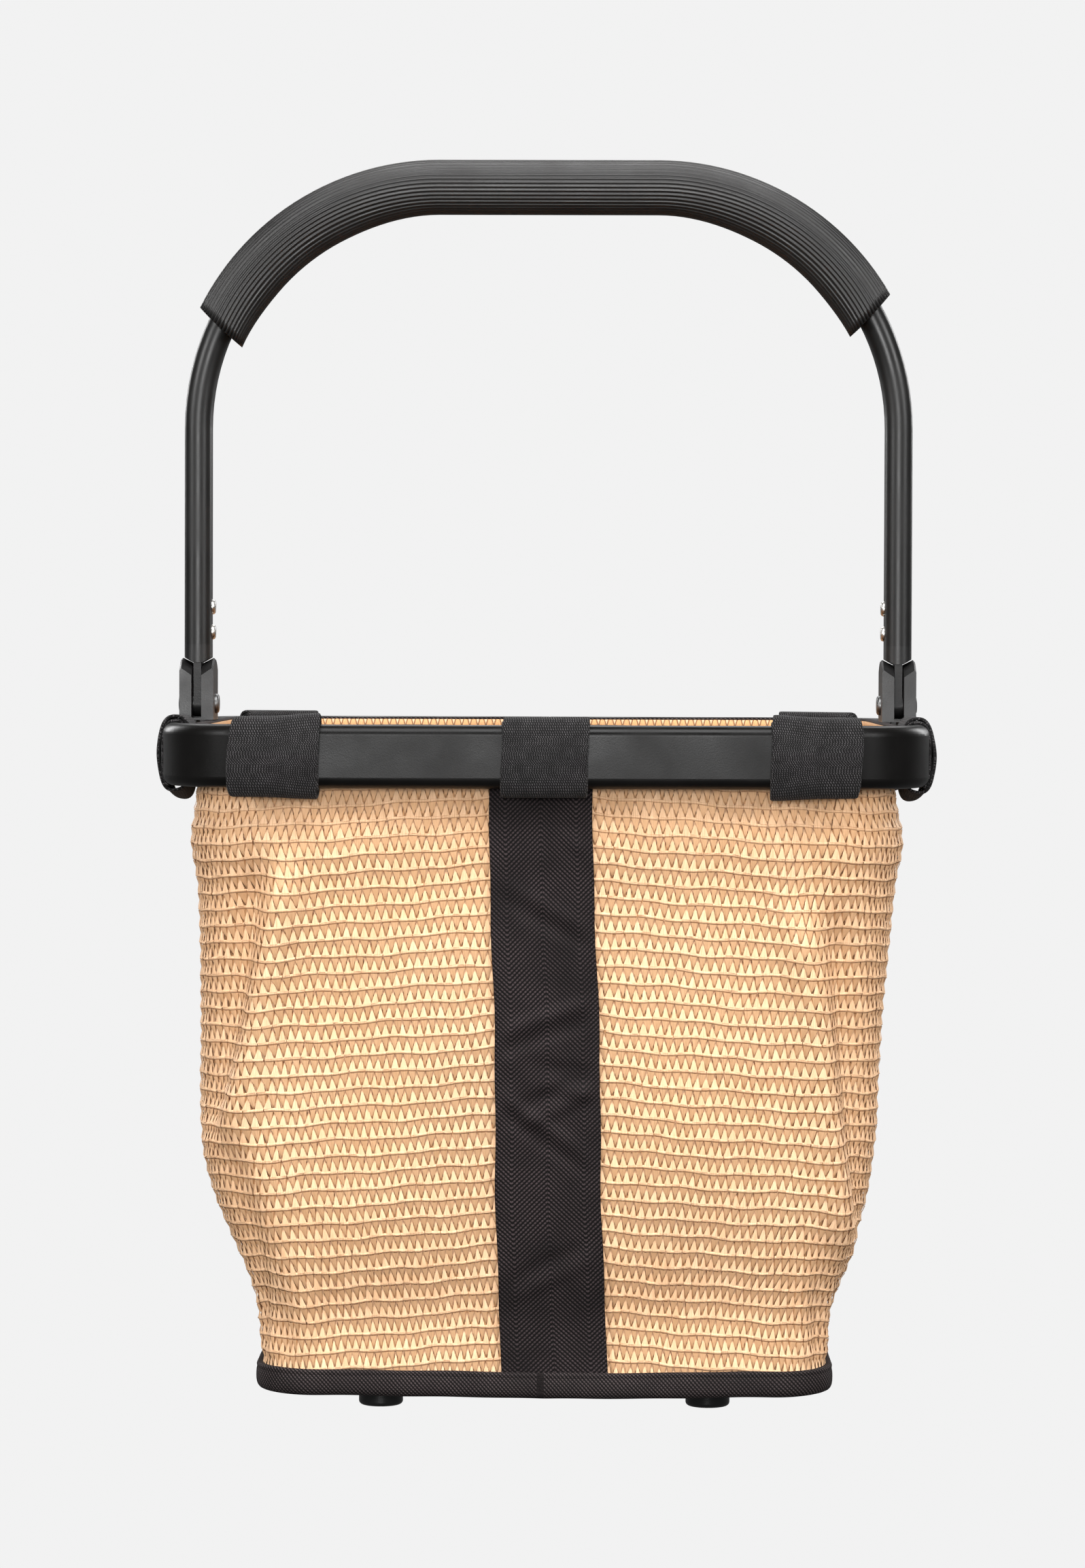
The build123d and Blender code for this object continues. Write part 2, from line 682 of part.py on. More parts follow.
def bracket_body():
    """The bar's half of the quick release: flanges that slide in the rails, latch cavity, clamp saddles."""
    body = box((-BODY_HALF_X, BODY_HALF_X), (BODY_FRONT, BODY_BACK), (BODY_LOW, BODY_TOP))
    body = fillet(body.edges().filter_by(Axis.Y), 4)
    body += box(
        (-FLANGE_HALF_X, FLANGE_HALF_X), (BODY_FRONT, BODY_FRONT + FLANGE_THICK), (BODY_LOW, BODY_TOP)
    )
    body += clamp_saddle()
    body += mirror(clamp_saddle(), about=Plane.YZ)
    cavity_x = (-CAVITY_HALF_X, CAVITY_HALF_X)
    shelf = box(cavity_x, (CAVITY_FRONT, CAVITY_BACK), (BOLT_TOP + SLIDE_GAP, SHELF_TOP))
    shelf -= box(
        (-WEDGE_HALF_X - SLIDE_GAP, WEDGE_HALF_X + SLIDE_GAP), (CAVITY_FRONT, CAVITY_BACK), (270, 280)
    )
    body -= box(cavity_x, (CAVITY_FRONT, BODY_BACK + 1), (CAVITY_LOW, SHELF_TOP + 13))
    body += shelf
    body -= box(
        (-BUTTON_HALF_X - SLIDE_GAP, BUTTON_HALF_X + SLIDE_GAP),
        (BUTTON_FRONT - SLIDE_GAP, BUTTON_BACK + SLIDE_GAP),
        (BUTTON_LOW, BODY_TOP + 1),
    )
    body -= box(
        (-BOLT_HALF_X - SLIDE_GAP, BOLT_HALF_X + SLIDE_GAP),
        (BODY_FRONT - 1, CAVITY_FRONT + 1),
        (BOLT_LOW - SLIDE_GAP, BOLT_TOP + SLIDE_GAP),
    )
    deep = BAR_Y - CLAMP_GAP - INSERT_LONG
    holes = [
        rod_y(INSERT_RADIUS, deep, BAR_Y, side * CLAMP_X, z)
        for z in clamp_bolt_heights()
        for side in (-1, 1)
    ]
    for x, z in cover_screw_places():
        holes.append(rod_y(1.35, COVER_FRONT - 7, COVER_FRONT + 1, x, z))
    return cut(body, holes)


COVER_FRONT = BODY_BACK
COVER_THICK = 2.4
COVER_HALF_X = 22.0


def cover_screw_places():
    """The cover's two screws."""
    return [(side * 16.5, 252.0) for side in (-1, 1)] + [(side * 16.5, 284.0) for side in (-1, 1)]


def bracket_cover():
    """The plate that closes the latch cavity between the clamp saddles."""
    cover = box(
        (-COVER_HALF_X, COVER_HALF_X), (COVER_FRONT, COVER_FRONT + COVER_THICK), (246, BODY_TOP)
    )
    cover = fillet(cover.edges().filter_by(Axis.Y), 3)
    for x, z in cover_screw_places():
        cover -= rod_y(1.6, COVER_FRONT - 1, COVER_FRONT + COVER_THICK + 1, x, z)
    return cover


def cover_screws():
    """Four small screws that hold the cover."""
    face = COVER_FRONT + COVER_THICK
    made = []
    for x, z in cover_screw_places():
        head = Pos(x, face, z) * Rot(-90, 0, 0) * domed_head(2.7, 1.4)
        made.append(head + rod_y(1.35, COVER_FRONT - 7, face, x, z))
    return group(made)


def clamp_cap():
    """Right-hand removable half of the handlebar clamp."""
    x_range = (CLAMP_X - CLAMP_HALF, CLAMP_X + CLAMP_HALF)
    face = BAR_Y + CLAMP_GAP
    cap = rod_x(BAR_RADIUS + CLAMP_WALL, *x_range, BAR_Y, BAR_Z)
    cap &= box(x_range, (face, BOX_BACK + 1), (200, 300))
    lugs = box(x_range, (face, face + CAP_LUG), (BAR_Z - CLAMP_HALF_Z, BAR_Z + CLAMP_HALF_Z))
    cap += fillet(lugs.edges().filter_by(Axis.Y), 3)
    cap -= rod_x(BAR_RADIUS, 0, 80, BAR_Y, BAR_Z)
    for z in clamp_bolt_heights():
        cap -= rod_y(SCREW_RADIUS + 0.2, BAR_Y, face + CAP_LUG + 1, CLAMP_X, z)
    return cap


def clamp_bolts():
    """Four socket-head bolts that close the clamps."""
    seat = BAR_Y + CLAMP_GAP + CAP_LUG
    made = []
    for z in clamp_bolt_heights():
        bolt = rod_y(SCREW_RADIUS, BAR_Y - INSERT_LONG, seat, CLAMP_X, z)
        bolt += rod_y(4.2, seat, seat + 4.6, CLAMP_X, z)
        socket = Pos(CLAMP_X, seat + 2.2, z) * Rot(-90, 0, 0) * extrude(RegularPolygon(2.3, 6), 3)
        made.append(bolt - socket)
    return both_sides(group(made))


def clamp_inserts():
    """Four threaded inserts in the saddles."""
    face = BAR_Y - CLAMP_GAP
    made = []
    for z in clamp_bolt_heights():
        insert = rod_y(INSERT_RADIUS, face - INSERT_LONG, face, CLAMP_X, z)
        made.append(insert - rod_y(SCREW_RADIUS + THREAD_GAP, face - INSERT_LONG, face, CLAMP_X, z))
    return both_sides(group(made))


def side_profile(points, half_x):
    """A profile of (y, z) points, extruded along X about the middle."""
    return extrude(Plane.YZ * make_face(Polyline(*points, close=True)), half_x, both=True)


def latch_bolt():
    """The bolt that locks into the plate's window, with a slot that slopes at 45 degrees."""
    bolt = box((-BOLT_HALF_X, BOLT_HALF_X), (BOLT_TIP, BOLT_END), (BOLT_LOW, BOLT_TOP))
    tip_y, tip_z = WEDGE_TIP
    lean = WEDGE_GAP * sqrt(2)
    low, high = BOLT_LOW - 1 - tip_z, BOLT_TOP + 1 - tip_z
    slot = (
        (tip_y + low - lean, tip_z + low),
        (tip_y + low + WEDGE_WIDE + lean, tip_z + low),
        (tip_y + high + WEDGE_WIDE + lean, tip_z + high),
        (tip_y + high - lean, tip_z + high),
    )
    return bolt - side_profile(slot, WEDGE_HALF_X + SLIDE_GAP)


def release_button():
    """The push button, with the sloped foot that draws and returns the bolt."""
    cap = box(
        (-BUTTON_HALF_X, BUTTON_HALF_X), (BUTTON_FRONT, BUTTON_BACK), (BUTTON_LOW, BUTTON_TOP)
    )
    cap = fillet(cap.faces().sort_by(Axis.Z)[-1].edges(), 1.5)
    tip_y, tip_z = WEDGE_TIP
    rise = WEDGE_KNEE - tip_z
    stem = (
        (tip_y, tip_z),
        (tip_y + WEDGE_WIDE, tip_z),
        (tip_y + WEDGE_WIDE + rise, WEDGE_KNEE),
        (tip_y + WEDGE_WIDE + rise, BUTTON_LOW + 1.5),
        (WEDGE_STEM, BUTTON_LOW + 1.5),
        (WEDGE_STEM, WEDGE_KNEE),
        (tip_y + rise, WEDGE_KNEE),
    )
    return cap + side_profile(stem, WEDGE_HALF_X)


def button_springs():
    """Two coil springs between the shelf and the button."""
    tall = BUTTON_LOW - SHELF_TOP - 2 * SPRING_WIRE
    coil = Helix(pitch=tall / SPRING_TURNS, height=tall, radius=SPRING_RADIUS)
    wire = sweep(Plane(origin=coil @ 0, z_dir=coil % 0) * Circle(SPRING_WIRE), path=coil)
    middle = (BUTTON_FRONT + BUTTON_BACK) / 2
    return both_sides(Pos(SPRING_X, middle, SHELF_TOP + SPRING_WIRE) * wire)


def pair(name, right):
    """Left and right nodes from the right-hand piece."""
    return {f"{name}_right": right, f"{name}_left": mirror(right, about=Plane.YZ)}


def all_parts():
    """Every node by name, about the middle of the rim."""
    weave_right, weave_left = weave_panels()
    strip_front, strip_back = seam_strips()
    return {
        "rim_tube": rim_tube(),
        "rim_joint_sleeve": rim_joint_sleeve(),
        "rim_joint_rivets": rim_joint_rivets(),
        "handle_tube": handle_tube(),
        "handle_grip": handle_grip(),
        "handle_rivets": handle_rivets(),
        "bracket_rivets": bracket_rivets(),
        "hinge_washers": hinge_washers(),
        **pair("handle_end", handle_end()),
        **pair("hinge_bracket", hinge_bracket()),
        **pair("hinge_pin", hinge_pin()),
        "weave_panel_right": weave_right,
        "weave_panel_left": weave_left,
        "seam_strip_front": strip_front,
        "seam_strip_back": strip_back,
        "hem_binding": hem_binding(),
        "base_binding": base_binding(),
        "base_cloth": base_cloth(),
        "base_board": base_board(),
        "feet": feet(),
        "foot_screws": foot_screws(),
        "foot_nuts": foot_nuts(),
        **straps(),
        "adapter_plate": adapter_plate(),
        "plate_screws": plate_screws(),
        "rivet_nuts": rivet_nuts(),
        "bracket_body": bracket_body(),
        "bracket_cover": bracket_cover(),
        "cover_screws": cover_screws(),
        **pair("clamp_cap", clamp_cap()),
        "clamp_bolts": clamp_bolts(),
        "clamp_inserts": clamp_inserts(),
        "latch_bolt": latch_bolt(),
        "release_button": release_button(),
        "button_springs": button_springs(),
    }


os.makedirs("parts", exist_ok=True)
for node, shape in all_parts().items():
    export_step(TO_ORIGIN * shape, f"parts/{node}.step")
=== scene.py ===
import bpy
import math
import numpy as np
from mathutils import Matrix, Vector


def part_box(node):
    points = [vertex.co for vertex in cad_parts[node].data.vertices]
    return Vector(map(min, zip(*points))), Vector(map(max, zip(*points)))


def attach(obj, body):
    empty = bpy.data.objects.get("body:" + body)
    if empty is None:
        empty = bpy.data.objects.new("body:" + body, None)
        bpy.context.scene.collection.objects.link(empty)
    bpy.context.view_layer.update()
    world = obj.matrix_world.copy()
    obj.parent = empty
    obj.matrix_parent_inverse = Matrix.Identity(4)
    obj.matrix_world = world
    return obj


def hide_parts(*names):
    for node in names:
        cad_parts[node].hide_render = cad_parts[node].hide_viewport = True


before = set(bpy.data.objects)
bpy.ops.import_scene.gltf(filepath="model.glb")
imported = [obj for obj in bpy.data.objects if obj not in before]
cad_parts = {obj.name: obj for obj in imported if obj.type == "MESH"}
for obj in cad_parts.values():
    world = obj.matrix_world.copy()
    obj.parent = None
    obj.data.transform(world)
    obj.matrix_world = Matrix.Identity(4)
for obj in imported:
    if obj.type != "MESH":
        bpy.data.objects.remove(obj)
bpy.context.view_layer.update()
bpy.ops.object.select_all(action="DESELECT")
mm = 0.001
rimLow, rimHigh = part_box("rim_tube")
midY = (rimLow[1] + rimHigh[1]) / 2
print("frame loaded")

# camera, level with the handle's feet and two metres in front of the rim
cameraPlace = {"distance": 2.0, "height": 0.342, "sideways": 0.018, "lens": 105,
               "tilt": 1.68, "roll": -0.18, "turn": 0.55}  # metres, millimetres, degrees
cameraData = bpy.data.cameras.new("camera")
cameraData.lens = cameraPlace["lens"]
cameraData.sensor_width = 36
cameraData.clip_end = 30
camera = bpy.data.objects.new("camera", cameraData)
bpy.context.collection.objects.link(camera)
camera.location = (cameraPlace["sideways"], rimLow[1] - cameraPlace["distance"], cameraPlace["height"])
turns = (90 - cameraPlace["tilt"], cameraPlace["roll"], cameraPlace["turn"])
camera.rotation_euler = [math.radians(a) for a in turns]
bpy.context.scene.camera = camera
bpy.context.scene.view_settings.view_transform = "Standard"


# materials: each starts from this
def startMaterial(name, colour, roughness, metallic=0.0, **sockets):
    material = bpy.data.materials.new(name)
    material.use_nodes = True
    tree = material.node_tree
    shader = tree.nodes["Principled BSDF"]
    shader.inputs["Base Color"].default_value = (*colour, 1)
    shader.inputs["Roughness"].default_value = roughness
    shader.inputs["Metallic"].default_value = metallic
    for socket, value in sockets.items():
        shader.inputs[socket].default_value = value
    return material, tree, shader


def addNode(tree, kind, values=None, **settings):
    node = tree.nodes.new(kind)
    for key, value in settings.items():
        setattr(node, key, value)
    for key, value in (values or {}).items():
        if hasattr(value, "is_output"):
            tree.links.new(value, node.inputs[key])
        else:
            node.inputs[key].default_value = value
    return node


def calc(tree, operation, a, b=0.0):
    return addNode(tree, "ShaderNodeMath", {0: a, 1: b}, operation=operation).outputs[0]


def blendColour(tree, factor, a, b):
    node = tree.nodes.new("ShaderNodeMix")
    node.data_type = "RGBA"
    for socket, value in ((node.inputs[0], factor), (node.inputs[6], a), (node.inputs[7], b)):
        if hasattr(value, "is_output"):
            tree.links.new(value, socket)
        elif isinstance(value, tuple):
            socket.default_value = (*value, 1)
        else:
            socket.default_value = value
    return node.outputs[2]


def spread(tree, value, low, high, toLow=0.0, toHigh=1.0):
    return addNode(tree, "ShaderNodeMapRange", {0: value, 1: low, 2: high, 3: toLow, 4: toHigh}).outputs[0]


def noiseOf(tree, vector, scale, detail=3.0, rough=0.5):
    node = addNode(tree, "ShaderNodeTexNoise", {"Vector": vector, "Scale": scale, "Detail": detail,
                                                "Roughness": rough})
    return node.outputs["Fac"]


def stretched(tree, vector, scale):
    return addNode(tree, "ShaderNodeMapping", {"Vector": vector, "Scale": scale}).outputs[0]


def objectCoords(tree):
    return tree.nodes.new("ShaderNodeTexCoord").outputs["Object"]


def clothCoords(tree):
    return addNode(tree, "ShaderNodeUVMap", uv_map="clothMap").outputs[0]


def clothMillimetres(tree, flat):
    # the cloth map is in decimetres
    parts = addNode(tree, "ShaderNodeSeparateXYZ", {0: flat})
    return [calc(tree, "MULTIPLY", parts.outputs[axis], 100.0) for axis in (0, 1)]


def bumpInto(tree, shader, height, distance, strength):
    node = addNode(tree, "ShaderNodeBump", {"Height": height, "Distance": distance, "Strength": strength})
    tree.links.new(node.outputs[0], shader.inputs["Normal"])


def mottle(tree, shader, cloud, start, colour, paler, roughness, smoother, rougher):
    # a cloud of darker and paler tone, with the gloss changing along with it
    tone = blendColour(tree, spread(tree, cloud, start, 0.7), tuple(c * paler[0] for c in colour),
                       tuple(min(1, c * paler[1]) for c in colour))
    tree.links.new(tone, shader.inputs["Base Color"])
    gloss = spread(tree, cloud, 0.3, 0.7, roughness - smoother, roughness + rougher)
    tree.links.new(gloss, shader.inputs["Roughness"])


def coatMaterial(name, colour, roughness, grain, gloss):
    material, tree, shader = startMaterial(name, colour, roughness, **{"Specular IOR Level": gloss})
    where = objectCoords(tree)
    mottle(tree, shader, noiseOf(tree, where, 35, 4), 0.35, colour, (0.8, 1.3), roughness, 0.05, 0.07)
    bumpInto(tree, shader, noiseOf(tree, where, grain, 2), 0.00005, 0.5)
    return material


def plasticMaterial(name, colour, roughness, grain=1400):
    material, tree, shader = startMaterial(name, colour, roughness)
    where = objectCoords(tree)
    mottle(tree, shader, noiseOf(tree, where, 60, 3), 0.3, colour, (0.85, 1.2), roughness, 0.06, 0.06)
    bumpInto(tree, shader, noiseOf(tree, where, grain, 3), 0.00006, 0.6)
    return material


def metalMaterial(name, colour, roughness):
    material, tree, shader = startMaterial(name, colour, roughness, 1.0)
    where = objectCoords(tree)
    mottle(tree, shader, noiseOf(tree, where, 260, 4), 0.3, colour, (0.75, 1.2), roughness, 0.08, 0.1)
    bumpInto(tree, shader, noiseOf(tree, stretched(tree, where, (1, 1, 8)), 900, 2), 0.00003, 0.5)
    return material


def raffiaMaterial(name, light, tan, dark):
    # the braid attribute holds the painted shade of the downward-facing falling strands, the painted shade where
    # strands tuck under (lower is darker) and the strand's own chance tint
    material, tree, shader = startMaterial(name, light, 0.55, **{"Specular IOR Level": 0.35})
    braid = addNode(tree, "ShaderNodeAttribute", attribute_name="braid")
    parts = addNode(tree, "ShaderNodeSeparateColor", {0: braid.outputs["Color"]})
    kind, tuckShadeFactor, chance = parts.outputs[0], parts.outputs[1], parts.outputs[2]
    where = clothCoords(tree)
    fibre = noiseOf(tree, stretched(tree, where, (330, 14, 1)), 1.0, 3, 0.6)
    cloud = noiseOf(tree, objectCoords(tree), 16, 3)
    # painted shade: the falling strands, which face down, are mixed towards tan
    base = blendColour(tree, kind, light, tan)
    base = blendColour(tree, spread(tree, fibre, 0.42, 0.68, 0, 0.55), base, tuple(c * 0.6 for c in tan))
    base = blendColour(tree, spread(tree, chance, 0, 1, 0, 0.34), base, tuple(c * 0.72 for c in tan))
    base = blendColour(tree, spread(tree, cloud, 0.35, 0.7, 0, 0.22), base, tan)
    # painted shade: each strand is darkened towards the dark colour where it tucks under and along the cord's lower
    # edge
    base = blendColour(tree, tuckShadeFactor, dark, base)
    tree.links.new(base, shader.inputs["Base Color"])
    tree.links.new(spread(tree, fibre, 0.3, 0.7, 0.46, 0.68), shader.inputs["Roughness"])
    bumpInto(tree, shader, fibre, 0.00022, 0.8)
    return material


def liningMaterial(name, light, tan, dark):
    # the back of the braid: rows of slanted strands with slits between them, the slits carrying painted shade, in the
    # cloth's own millimetres
    material, tree, shader = startMaterial(name, light, 0.6, **{"Specular IOR Level": 0.3})
    flat = clothCoords(tree)
    across, along = clothMillimetres(tree, flat)
    rowAt = calc(tree, "DIVIDE", along, braidPitch["row"])
    row, inRow = calc(tree, "FLOOR", rowAt), calc(tree, "FRACT", rowAt)
    column = calc(tree, "DIVIDE", across, braidPitch["column"])
    column = calc(tree, "ADD", column, calc(tree, "MULTIPLY", row, 0.5))
    zigzag = calc(tree, "MULTIPLY", calc(tree, "PINGPONG", column, 0.5), 2.0)
    gap = calc(tree, "SUBTRACT", zigzag, inRow)
    slitShade = spread(tree, calc(tree, "ABSOLUTE", gap), 0.02, 0.2, 1.0, 0.0)
    fibre = noiseOf(tree, stretched(tree, flat, (330, 14, 1)), 1.0, 3, 0.6)
    base = blendColour(tree, spread(tree, gap, -0.1, 0.1), light, tan)
    base = blendColour(tree, spread(tree, fibre, 0.42, 0.68, 0, 0.5), base, tuple(c * 0.6 for c in tan))
    # painted shade: the slits are darkened towards the dark colour
    base = blendColour(tree, calc(tree, "MULTIPLY", slitShade, 0.85), base, dark)
    tree.links.new(base, shader.inputs["Base Color"])
    bumpInto(tree, shader, calc(tree, "SUBTRACT", calc(tree, "MULTIPLY", fibre, 0.4), slitShade), 0.0006, 0.8)
    return material


def clothMaterial(name, dark, thread, pitch, fold=0.0):
    # dotted weave with its diagonals pitch apart; with a fold, they turn back at the middle and the edges
    material, tree, shader = startMaterial(name, dark, 0.8, **{"Specular IOR Level": 0.18})
    across, along = clothMillimetres(tree, clothCoords(tree))
    if fold:
        across = calc(tree, "PINGPONG", calc(tree, "ADD", across, 50 * fold), fold)
    slant = calc(tree, "MULTIPLY", calc(tree, "ADD", across, along), math.pi / pitch)
    other = calc(tree, "MULTIPLY", calc(tree, "SUBTRACT", across, along), math.pi / pitch)
    line = spread(tree, calc(tree, "SINE", slant), -0.7, 0.9)
    dot = spread(tree, calc(tree, "SINE", other), -1.0, 0.4, 0.25, 1.0)
    grid = calc(tree, "MULTIPLY", line, dot)
    cloud = noiseOf(tree, objectCoords(tree), 45, 3)
    level = calc(tree, "MULTIPLY", grid, spread(tree, cloud, 0.3, 0.7, 0.45, 1.0))
    tree.links.new(blendColour(tree, level, dark, thread), shader.inputs["Base Color"])
    bumpInto(tree, shader, grid, 0.00022, 0.8)
    return material


def pileMaterial(name, dark, tip):
    # brushed loop tape: short slanted dashes in rows across the strap, over fine hairs
    material, tree, shader = startMaterial(
        name, dark, 0.92, **{"Sheen Weight": 0.05, "Sheen Roughness": 0.5, "Specular IOR Level": 0.25})
    rowPitch, dashPitch, dashSlant = 0.8, 1.05, 0.35  # millimetres
    across, along = clothMillimetres(tree, clothCoords(tree))
    rowAt = calc(tree, "DIVIDE", along, rowPitch)
    row, inRow = calc(tree, "FLOOR", rowAt), calc(tree, "FRACT", rowAt)
    scatter = calc(tree, "FRACT", calc(tree, "MULTIPLY", calc(tree, "SINE", row), 91.7))  # each row starts elsewhere
    shifted = calc(tree, "ADD", across, calc(tree, "MULTIPLY", scatter, 1.6))
    slanted = calc(tree, "ADD", shifted, calc(tree, "MULTIPLY", inRow, dashSlant))
    dash = calc(tree, "SINE", calc(tree, "MULTIPLY", slanted, 2 * math.pi / dashPitch))
    band = calc(tree, "SINE", calc(tree, "MULTIPLY", inRow, math.pi))
    stitch = calc(tree, "MULTIPLY", spread(tree, dash, -0.1, 0.9), band)
    hairs = noiseOf(tree, objectCoords(tree), 1500, 4, 0.7)
    tufts = noiseOf(tree, objectCoords(tree), 190, 3)
    level = calc(tree, "MULTIPLY", stitch, spread(tree, hairs, 0.34, 0.52, 0.3, 1.0))
    level = calc(tree, "MULTIPLY", level, spread(tree, tufts, 0.3, 0.65, 0.45, 1.0))
    tree.links.new(blendColour(tree, level, dark, tip), shader.inputs["Base Color"])
    bumpInto(tree, shader, calc(tree, "ADD", calc(tree, "MULTIPLY", stitch, 0.6), hairs), 0.0004, 0.8)
    return material


rimCoat = coatMaterial("rimCoat", (0.0032, 0.0029, 0.0027), 0.33, 1500, 0.16)
handleCoat = coatMaterial("handleCoat", (0.006, 0.0057, 0.0055), 0.38, 1500, 0.4)
hingeNylon = plasticMaterial("hingeNylon", (0.0035, 0.0033, 0.0032), 0.42)
adapterNylon = plasticMaterial("adapterNylon", (0.02, 0.02, 0.021), 0.5, 900)
buttonGrey = plasticMaterial("buttonGrey", (0.22, 0.22, 0.22), 0.45)
boardSheet = plasticMaterial("boardSheet", (0.045, 0.043, 0.042), 0.62, 500)
footPlastic = plasticMaterial("footPlastic", (0.006, 0.006, 0.006), 0.26)
gripRubber = plasticMaterial("gripRubber", (0.0075, 0.0068, 0.0065), 0.42, 420)
zincSteel = metalMaterial("zincSteel", (0.62, 0.61, 0.58), 0.33)
blackSteel = metalMaterial("blackSteel", (0.16, 0.16, 0.16), 0.38)
springSteel = metalMaterial("springSteel", (0.5, 0.5, 0.5), 0.25)
millAluminium = metalMaterial("millAluminium", (0.7, 0.7, 0.71), 0.4)
braidPitch = {"row": 7.42, "column": 3.86}  # millimetres
# the third colour is the painted shade where strands tuck under
raffia = raffiaMaterial("raffia", (0.93, 0.615, 0.378), (0.80, 0.43, 0.195), (0.20, 0.068, 0.024))
# the lining's third colour is the painted shade in its slits
raffiaBack = liningMaterial("raffiaBack", (0.90, 0.60, 0.37), (0.77, 0.43, 0.20), (0.20, 0.075, 0.025))
stripCloth = clothMaterial("stripCloth", (0.0012, 0.0007, 0.0007), (0.068, 0.050, 0.052), 1.05, 15.5)
bindingCloth = clothMaterial("bindingCloth", (0.002, 0.0013, 0.0013), (0.085, 0.066, 0.066), 1.0)
strapPile = pileMaterial("strapPile", (0.0028, 0.0025, 0.0025), (0.108, 0.101, 0.104))
print("materials made")

cadFinish = {
    rimCoat: ["rim_tube"],
    handleCoat: ["handle_tube"],
    hingeNylon: ["handle_end_left", "handle_end_right", "hinge_bracket_left", "hinge_bracket_right",
                 "hinge_washers"],
    blackSteel: ["hinge_pin_left", "hinge_pin_right", "cover_screws", "clamp_bolts", "latch_bolt"],
    zincSteel: ["handle_rivets", "bracket_rivets", "rim_joint_rivets", "foot_screws", "foot_nuts",
                "plate_screws"],
    millAluminium: ["rim_joint_sleeve", "rivet_nuts", "clamp_inserts"],
    boardSheet: ["base_board"],
    footPlastic: ["feet"],
    adapterNylon: ["adapter_plate", "bracket_body", "bracket_cover", "clamp_cap_left", "clamp_cap_right"],
    buttonGrey: ["release_button"],
    springSteel: ["button_springs"],
}
for finish, names in cadFinish.items():
    for name in names:
        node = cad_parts[name]
        if not node.material_slots:
            node.data.materials.append(finish)
        for holder in node.material_slots:
            holder.material = finish


# finishing and sewing tools used by every piece
def finishPiece(piece, material, body, slotName, *nodes):
    piece.data.materials.append(material)
    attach(piece, body)
    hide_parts(*nodes)
    return piece


def selectOnly(piece):
    bpy.ops.object.select_all(action="DESELECT")
    piece.select_set(True)
    bpy.context.view_layer.objects.active = piece


def thicken(piece, thick=0.0, offset=-1, rounded=False):
    # gives a sheet its thickness in millimetres and smooths it, with the modifiers applied
    if thick:
        solid = piece.modifiers.new("thickness", "SOLIDIFY")
        solid.thickness = thick * mm
        solid.offset = offset
    if rounded:
        rounding = piece.modifiers.new("rounding", "SUBSURF")
        rounding.levels = rounding.render_levels = 1
    selectOnly(piece)
    for modifier in list(piece.modifiers):
        bpy.ops.object.modifier_apply(modifier=modifier.name)
    return piece


def clothPiece(name, points, cells, cloth):
    # points are rows of places, cells the faces between them, cloth each point's place on the flat cloth
    mesh = bpy.data.meshes.new(name)
    mesh.from_pydata(points.reshape(-1, 3).tolist(), [], cells)
    mesh.update()
    layer = mesh.uv_layers.new(name="clothMap")
    corner = np.empty(len(mesh.loops), dtype=np.int32)
    mesh.loops.foreach_get("vertex_index", corner)
    layer.data.foreach_set("uv", cloth.reshape(-1, 2)[corner].astype(np.float32).ravel())
    mesh.shade_smooth()
    piece = bpy.data.objects.new(name, mesh)
    bpy.context.collection.objects.link(piece)
    return piece


def gridCells(rows, columns, ringRows=False, ringColumns=False):
    cells = []
    for i in range(rows if ringRows else rows - 1):
        for j in range(columns if ringColumns else columns - 1):
            a, b = i * columns + j, i * columns + (j + 1) % columns
            c, d = ((i + 1) % rows) * columns + (j + 1) % columns, ((i + 1) % rows) * columns + j
            cells.append((a, b, c, d))
    return cells


def soften(value, low, high):
    t = np.clip((value - low) / (high - low), 0, 1)
    return t * t * (3 - 2 * t)


# the bag's form, in millimetres about the middle of the rim
bagShape = {
    "levels": [(5, 127.4, 96.4, 25.5), (19.6, 127.5, 96.5, 25.5), (40, 128.3, 97.3, 26), (52, 131.5, 99.8, 28.5),
               (62, 136, 103, 32), (75, 140.5, 106, 36), (95, 146.5, 109.5, 40), (125, 151, 113, 44),
               (160, 153.3, 116, 46), (215, 156.5, 119.5, 46), (238, 157.5, 121, 45), (256, 161, 123.5, 43),
               (274, 157.1, 122.1, 40), (308.6, 157.1, 122.1, 38.5)],
    "low": 11.5, "high": 307.8, "uneven": 1.1, "girth": 10.2,  # the girth is in decimetres, for the cloth map
    "folds": [  # each fold's upper and lower end as (x, z), its height, width and which way the hollow lies
        ((-117, 244), (-138, 128), 6.0, 9.0, -1), ((119, 222), (136, 78), 5.5, 8.5, 1),
        ((-128, 120), (-112, 40), 2.2, 8.0, -1), ((105, 262), (112, 200), 2.2, 8.0, 1),
    ],
    "bulge": {"side": -1, "z": 118, "tall": 42, "out": 5.0},
}


def sectionAt(z):
    levels = np.array(bagShape["levels"])
    return [sum(np.interp(z + d, levels[:, 0], levels[:, k]) for d in (-6, -2, 2, 6)) / 4 for k in (1, 2, 3)]


def outlineAt(s, z):
    # s runs from 0 at the front seam round one side to 1 at the back seam
    halfX, halfY, corner = sectionAt(z)
    flat, bend, side = halfX - corner, corner * math.pi / 2, 2 * (halfY - corner)
    d = s * (2 * flat + 2 * bend + side)
    first = (d - flat) / corner
    second = (d - flat - bend - side) / corner
    where = [d < flat, d < flat + bend, d < flat + bend + side, d < flat + 2 * bend + side]
    x = np.select(where, [d, flat + corner * np.sin(first), halfX + 0 * d, flat + corner * np.cos(second)],
                  flat - (d - flat - 2 * bend - side))
    y = np.select(where, [-halfY + 0 * d, corner - halfY - corner * np.cos(first),
                          corner - halfY + (d - flat - bend), halfY - corner + corner * np.sin(second)], halfY)
    return x, y


def lengthAt(z):
    halfX, halfY, corner = sectionAt(z)
    return 2 * (halfX - corner) + math.pi * corner + 2 * (halfY - corner)


